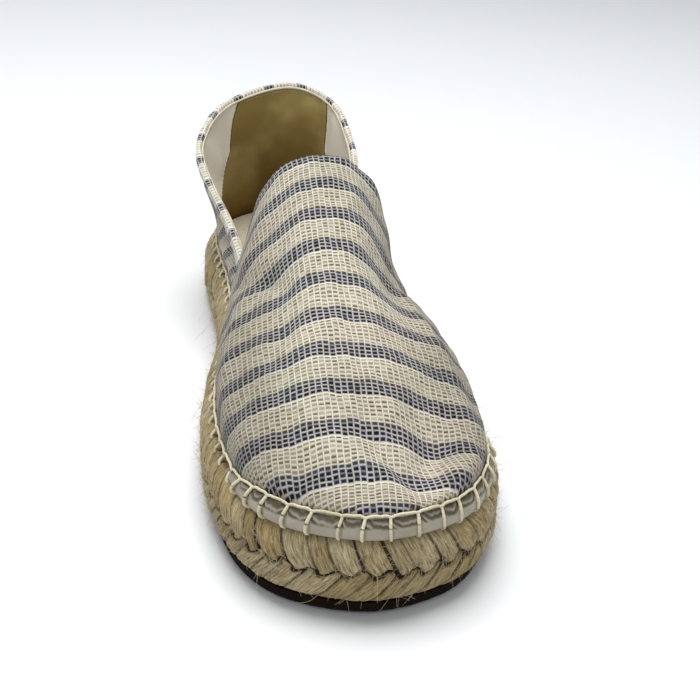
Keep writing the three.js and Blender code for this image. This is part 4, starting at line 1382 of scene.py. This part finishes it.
def between_stitches(path):
    """0 at a stitch, 1 at the next: how far along the gap a place lies."""
    path = np.asarray(path) % AROUND
    marks = np.concatenate([[stitch_way[-1] - AROUND], stitch_way, [stitch_way[0] + AROUND]])
    return np.interp(path, marks, np.arange(STITCHES + 2)) % 1


print(STITCHES, "stitches round the sole")

# %% [markdown]
# ## The rubber strip round the toe
#
# A soft grey rubber strip is caught under the blanket stitch round the toe. Below, it bulges out
# smoothly with a dull shine. Above, the stitches gather it, so between each two of them it puckers
# in small bowed wrinkles, whose hollows are painted dark as painted shade. A bump could fake them,
# but they show on the strip's outline, so they are in the grid itself. The same numbers drive the
# painted shade, so the dark always lies in the hollows.

# %% The strip's section and its place
RAND_COLUMNS = 900
RAND_SECTION = np.array([  # out from the wall, share of the strip's height
    (0, 0), (2.3, 0), (2.68, 0.05), (2.92, 0.13), (3.06, 0.22), (3.1, 0.31), (3.06, 0.4),
    (2.95, 0.48), (2.8, 0.55), (2.62, 0.61), (2.42, 0.67), (2.2, 0.72), (1.98, 0.77), (1.74, 0.82),
    (1.48, 0.87), (1.15, 0.915), (0.8, 0.955), (0.4, 0.985), (0, 1.0),
])
rand_station = np.linspace(-RAND_LATERAL, RAND_MEDIAL, RAND_COLUMNS)
rand_path = path_at(rand_station)
strip_size = strip_scale(rand_station)[:, None]
section_out, level = RAND_SECTION[:, 0][None], RAND_SECTION[:, 1][None]
print("toe strip:", round(AROUND - rand_path[0] + rand_path[-1]), "mm long")

# %% Wrinkles between the stitches
gap_part = between_stitches(rand_path)
stitch_no = np.floor(np.interp(rand_path, stitch_way, np.arange(STITCHES))).astype(int)
chance = rng.uniform(0, 1, (4, STITCHES + 1))[:, stitch_no]
bow = (2 * (gap_part - 0.3 * (chance[0] - 0.5)) - 1) ** 2
ripple = 0.1 * np.sin(rand_path * 1.3) + 0.05 * np.sin(rand_path * 2.9 + 1)
waves = level * (2.2 + 2 * chance[1][:, None])
waves = waves - (0.4 + 0.7 * chance[2][:, None]) * bow[:, None] + ripple[:, None]
wrinkle = np.sin(2 * np.pi * waves + 5 * chance[3][:, None])
gathered = smooth(level - 0.1 * (chance[2][:, None] - 0.5), 0.5, 0.66)
gathered = gathered * (1 - smooth(level, 0.97, 1.0)) * rand_share(rand_station)[:, None]
pinch = np.exp(-((np.minimum(gap_part, 1 - gap_part) / 0.07) ** 2))[:, None]
print("wrinkles in", len(set(stitch_no)), "gaps between stitches")

# %% The strip's mesh
relief = 0.22 * wrinkle * gathered - 0.45 * pinch * smooth(level, 0.02, 0.2)
rand_out = section_out * (0.4 + 0.6 * strip_size) + relief * (section_out > 0)
soft_wave = 0.12 * np.sin(rand_path * 0.9)[:, None]
rand_out = rand_out + soft_wave * smooth(level, 0.02, 0.2) * (1 - smooth(level, 0.4, 0.6))
rand_points = above_sole(
    rand_station[:, None] + 0 * level, SEAM_INSET - SEAT - rand_out,
    UPPER_FOOT + RAND_HIGH * strip_size * level)
rand = grid_piece("toe_strip", rand_points, close_rows=True)
# Painted shade: dark in the wrinkles' hollows and along the strip's top, and darker towards its
# thin ends
fold_shade = (0.6 - 0.4 * wrinkle) * gathered + 0.4 * gathered * smooth(level, 0.8, 0.95)
mark_points(rand, "wrinkle_shade", np.clip(fold_shade + 0.5 * (1 - strip_size), 0, 1))

# %% [markdown]
# ## The finish of the rubber strip
#
# Vulcanised natural rubber, rolled smooth and filled with chalk: grey, with a dull shine that turns
# matt where it was scuffed. Dust sticks to it, and its folds are painted dark as painted shade. A
# painted map would tie that shade to one shape; here each point knows how deep in a wrinkle it
# lies.
# Rubber's IOR of 1.52 is close to Blender's 1.5, which stays. Roughness runs from 0.36, clean, to
# 0.6, scuffed. Scuffs of 0.3 mm are drawn 1.1 mm wide, so that they show.

# %% Grey rubber
rubber, tree = finish("soft_grey_rubber_strip")
place = add(tree, "ShaderNodeTexCoord").outputs["Object"]
in_fold_shade = add(tree, "ShaderNodeAttribute", attribute_name="wrinkle_shade").outputs["Fac"]
smear = add(tree, "ShaderNodeTexNoise", {
    "Vector": place, "Scale": 110.0, "Detail": 5.0, "Roughness": 0.6,
})
speck = add(tree, "ShaderNodeTexNoise", {"Vector": place, "Scale": 900.0, "Detail": 3.0})
tone = add(tree, "ShaderNodeMix", {
    "Factor": smear, "A": "#88816F", "B": "#B6AF9D",
}, data_type="RGBA")
# Painted shade in the folds, mixed with the smear of the rubber's own tone
fold = add(tree, "ShaderNodeMath", {0: smear, 1: 0.5, 2: in_fold_shade}, operation="MULTIPLY_ADD")
fold = add(tree, "ShaderNodeMapRange", {
    "Value": fold, "From Min": 0.3, "From Max": 1.0, "To Min": 0.0, "To Max": 0.9,
})
tone = add(tree, "ShaderNodeMix", {"Factor": fold, "A": tone, "B": "#453D28"}, data_type="RGBA")
gloss = add(tree, "ShaderNodeMapRange", {
    "Value": speck, "From Min": 0.3, "From Max": 0.7, "To Min": 0.36, "To Max": 0.6,
})
bump = add(tree, "ShaderNodeBump", {"Height": speck, "Strength": 0.2, "Distance": 0.0004})
shade = add(tree, "ShaderNodeBsdfPrincipled", {
    "Base Color": tone, "Roughness": gloss, "Specular IOR Level": 0.4, "Normal": bump,
})
add(tree, "ShaderNodeOutputMaterial", {"Surface": shade})
rand.data.materials.append(rubber)
print("grey rubber:", len(tree.nodes), "nodes")
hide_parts("toe_rand")
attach(rand, "root")

# %% [markdown]
# ## Blanket stitches
#
# The thread is thick waxed cotton. It runs along the edge of the cloth, and at each stitch a bar
# comes down from it, over the rubber strip at the toe and straight into the jute elsewhere. Curve
# objects with a bevel could be drawn by hand, one for each of the stitches. Tubes along paths that
# are worked out from the pieces under them follow those pieces exactly.

# %% Paths of the bars
BAR_POINTS = 15
THREAD_LIES = 0.35  # mm from what a bar lies on to the middle of its thread
stitch_at = station_at(stitch_way)
share_here = rand_share(stitch_at)[:, None]
strip_here = RAND_HIGH * strip_scale(stitch_at)[:, None]
seam_here = seam_height(stitch_at)[:, None]
part = np.linspace(0, 1, BAR_POINTS)[None]
level = 1 - part * 1.14
strip_out = np.interp(np.clip(level, 0, 1), RAND_SECTION[:, 1], RAND_SECTION[:, 0])
strip_out = np.where(level < 0.05, 2.5 + (level - 0.05) * 9, strip_out) + THREAD_LIES
strip_high = np.maximum(level, -0.14) * strip_here + 0.7 * (part < 0.02)
bare_out = THREAD_LIES + 1.9 * smooth(part, 0.1, 0.9)
bare_high = seam_here * (1 - part) - 1.3 * part
blend = (share_here > 0.02) * smooth(share_here, 0.0, 0.25)
bar_out = blend * strip_out + (1 - blend) * bare_out
bar_high = blend * strip_high + (1 - blend) * bare_high
tilt = rng.normal(0, 0.5, STITCHES)[:, None] * (part - 0.3) + 0.7 * np.sin(np.pi * part)
bar_station = station_at(stitch_way[:, None] + tilt)
bars = above_sole(bar_station, SEAM_INSET - SEAT - bar_out, UPPER_FOOT + bar_high)
print("bars over the toe strip:", int((share_here > 0.02).sum()))

# %% The bars
bar_radius = 0.52 + 0.05 * np.sin(np.pi * part) + rng.normal(0, 0.03, (STITCHES, 1))
stitches = tubes("blanket_stitches", bars, bar_radius, 8)
stitches.data.materials.append(yarn)
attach(stitches, "root")

# %% The edge thread, which each bar pulls out a little
THREAD_POINTS, THREAD_RADIUS = 1800, 0.44
thread_way = np.linspace(0, AROUND, THREAD_POINTS)
gap_part = between_stitches(thread_way)
pulled = np.exp(-((np.minimum(gap_part, 1 - gap_part) / 0.12) ** 2))
thread_station = station_at(thread_way)
thread_high = UPPER_FOOT + seam_height(thread_station) + 0.6 - 0.4 * pulled
thread_high = thread_high + 0.1 * np.sin(thread_way * 1.1)
thread_line = above_sole(thread_station, SEAM_INSET - LAP * 0.2 - 0.6 - 0.3 * pulled, thread_high)
edge_thread = tubes("edge_thread", thread_line[None], THREAD_RADIUS, 8)
edge_thread.data.materials.append(yarn)
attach(edge_thread, "root")

# %% [markdown]
# ## Small threads at the edges
#
# The vamp's top is a fold of the cloth's own edge, where the weft turns back in tiny loops. Inside,
# the suede patch is overcast along its top with straw-coloured thread. A bump can't stand out from
# an edge, so both are rows of short tubes. Real loops are 0.3 mm thick and closer together; these
# are drawn 0.5 mm thick, which still shows.

# %% Weft loops
LOOPS, LOOP_RADIUS = 120, 0.24
LOOP_FROM, LOOP_TO = 1.2, 6.3  # stations, on both sides of the vamp's top
medial_loops = np.linspace(LOOP_FROM, LOOP_TO, LOOPS // 2)
lateral_loops = np.linspace(-LOOP_TO, -LOOP_FROM, LOOPS // 2)
loop_station = np.concatenate([medial_loops, lateral_loops])
turn = np.linspace(0, np.pi, 7)[None, :, None]
edge_normal = wall_normal(loop_station, 1.0, True)
edge_at = wall_face(loop_station, 1.0, True) + (LAP - WALL) / 2 * edge_normal
beyond = edge_at - wall_face(loop_station, 0.98, True)
beyond /= np.linalg.norm(beyond, axis=-1, keepdims=True)
beside = wall_face(loop_station + NEAR, 1.0, True) - wall_face(loop_station - NEAR, 1.0, True)
beside /= np.linalg.norm(beside, axis=-1, keepdims=True)
loops = edge_at[:, None] + beyond[:, None] * (0.4 + 0.75 * np.sin(turn))
loops = loops + beside[:, None] * 0.6 * np.cos(turn)
weft_loops = tubes("weft_loops", loops, LOOP_RADIUS, 6)
weft_loops.data.materials.append(yarn)
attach(weft_loops, "root")

# %% Overcast stitches along the patch's top
OVERCAST_POINTS, OVERCAST_RADIUS = 90, 0.28
patch_station = np.linspace(10.42, 11.7, OVERCAST_POINTS)
up_and_down = 3.2 + 1.1 * (np.arange(OVERCAST_POINTS) % 2)  # mm from the collar's edge
patch_share = 1 - up_and_down / np.interp(patch_station, bind_station, tall)
patch_normal = wall_normal(patch_station, patch_share, False)
overcast_line = wall_face(patch_station, patch_share, False) - patch_normal * (WALL + 0.65)
overcast = tubes("overcast_stitches", overcast_line[None], OVERCAST_RADIUS, 6)
overcast.data.materials.append(straw)
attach(overcast, "root")

# %% [markdown]
# ## Insole and outsole
#
# The insole is a thin board covered with cotton canvas, pressed flat and worn grey-beige by feet:
# matt, with a fine grain. The outsole is a sheet of dark brown vulcanised rubber, moulded and
# brushed dull by walking, so it shows almost no gloss. Both solids already have their true form, so
# nothing is laid over them; they only get a finish. A finer mesh would change nothing that shows.
# Roughness starts at 0.9 for the cloth and the worn rubber. The canvas's threads of 0.4 mm are
# drawn 1.2 mm wide, and the rubber's grit of 1 mm is drawn 3 mm wide, so that they show.


# %% Insole cover
def cover(solid, material):
    """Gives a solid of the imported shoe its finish."""
    solid.data.materials.clear()
    solid.data.materials.append(material)
    print(f"{solid.name}: {material.name}")


insole_cloth, tree = finish("insole_canvas_cover")
place = add(tree, "ShaderNodeTexCoord").outputs["Object"]
grain = add(tree, "ShaderNodeTexNoise", {"Vector": place, "Scale": 800.0, "Detail": 2.0})
tone = add(tree, "ShaderNodeMix", {
    "Factor": grain, "A": "#8F8671", "B": "#B5AC98",
}, data_type="RGBA")
bump = add(tree, "ShaderNodeBump", {"Height": grain, "Strength": 0.5, "Distance": 0.0003})
shade = add(tree, "ShaderNodeBsdfPrincipled", {
    "Base Color": tone, "Roughness": 0.9, "Normal": bump,
})
add(tree, "ShaderNodeOutputMaterial", {"Surface": shade})
cover(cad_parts["insole"], insole_cloth)

# %% Dark rubber outsole
outsole_rubber, tree = finish("dark_brown_rubber_outsole")
place = add(tree, "ShaderNodeTexCoord").outputs["Object"]
grain = add(tree, "ShaderNodeTexNoise", {"Vector": place, "Scale": 300.0, "Detail": 4.0})
tone = add(tree, "ShaderNodeMix", {
    "Factor": grain, "A": "#0B0502", "B": "#1E1107",
}, data_type="RGBA")
bump = add(tree, "ShaderNodeBump", {"Height": grain, "Strength": 0.5, "Distance": 0.0005})
shade = add(tree, "ShaderNodeBsdfPrincipled", {
    "Base Color": tone, "Roughness": 0.85, "Specular IOR Level": 0.1, "Normal": bump,
})
add(tree, "ShaderNodeOutputMaterial", {"Surface": shade})
cover(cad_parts["outsole"], outsole_rubber)
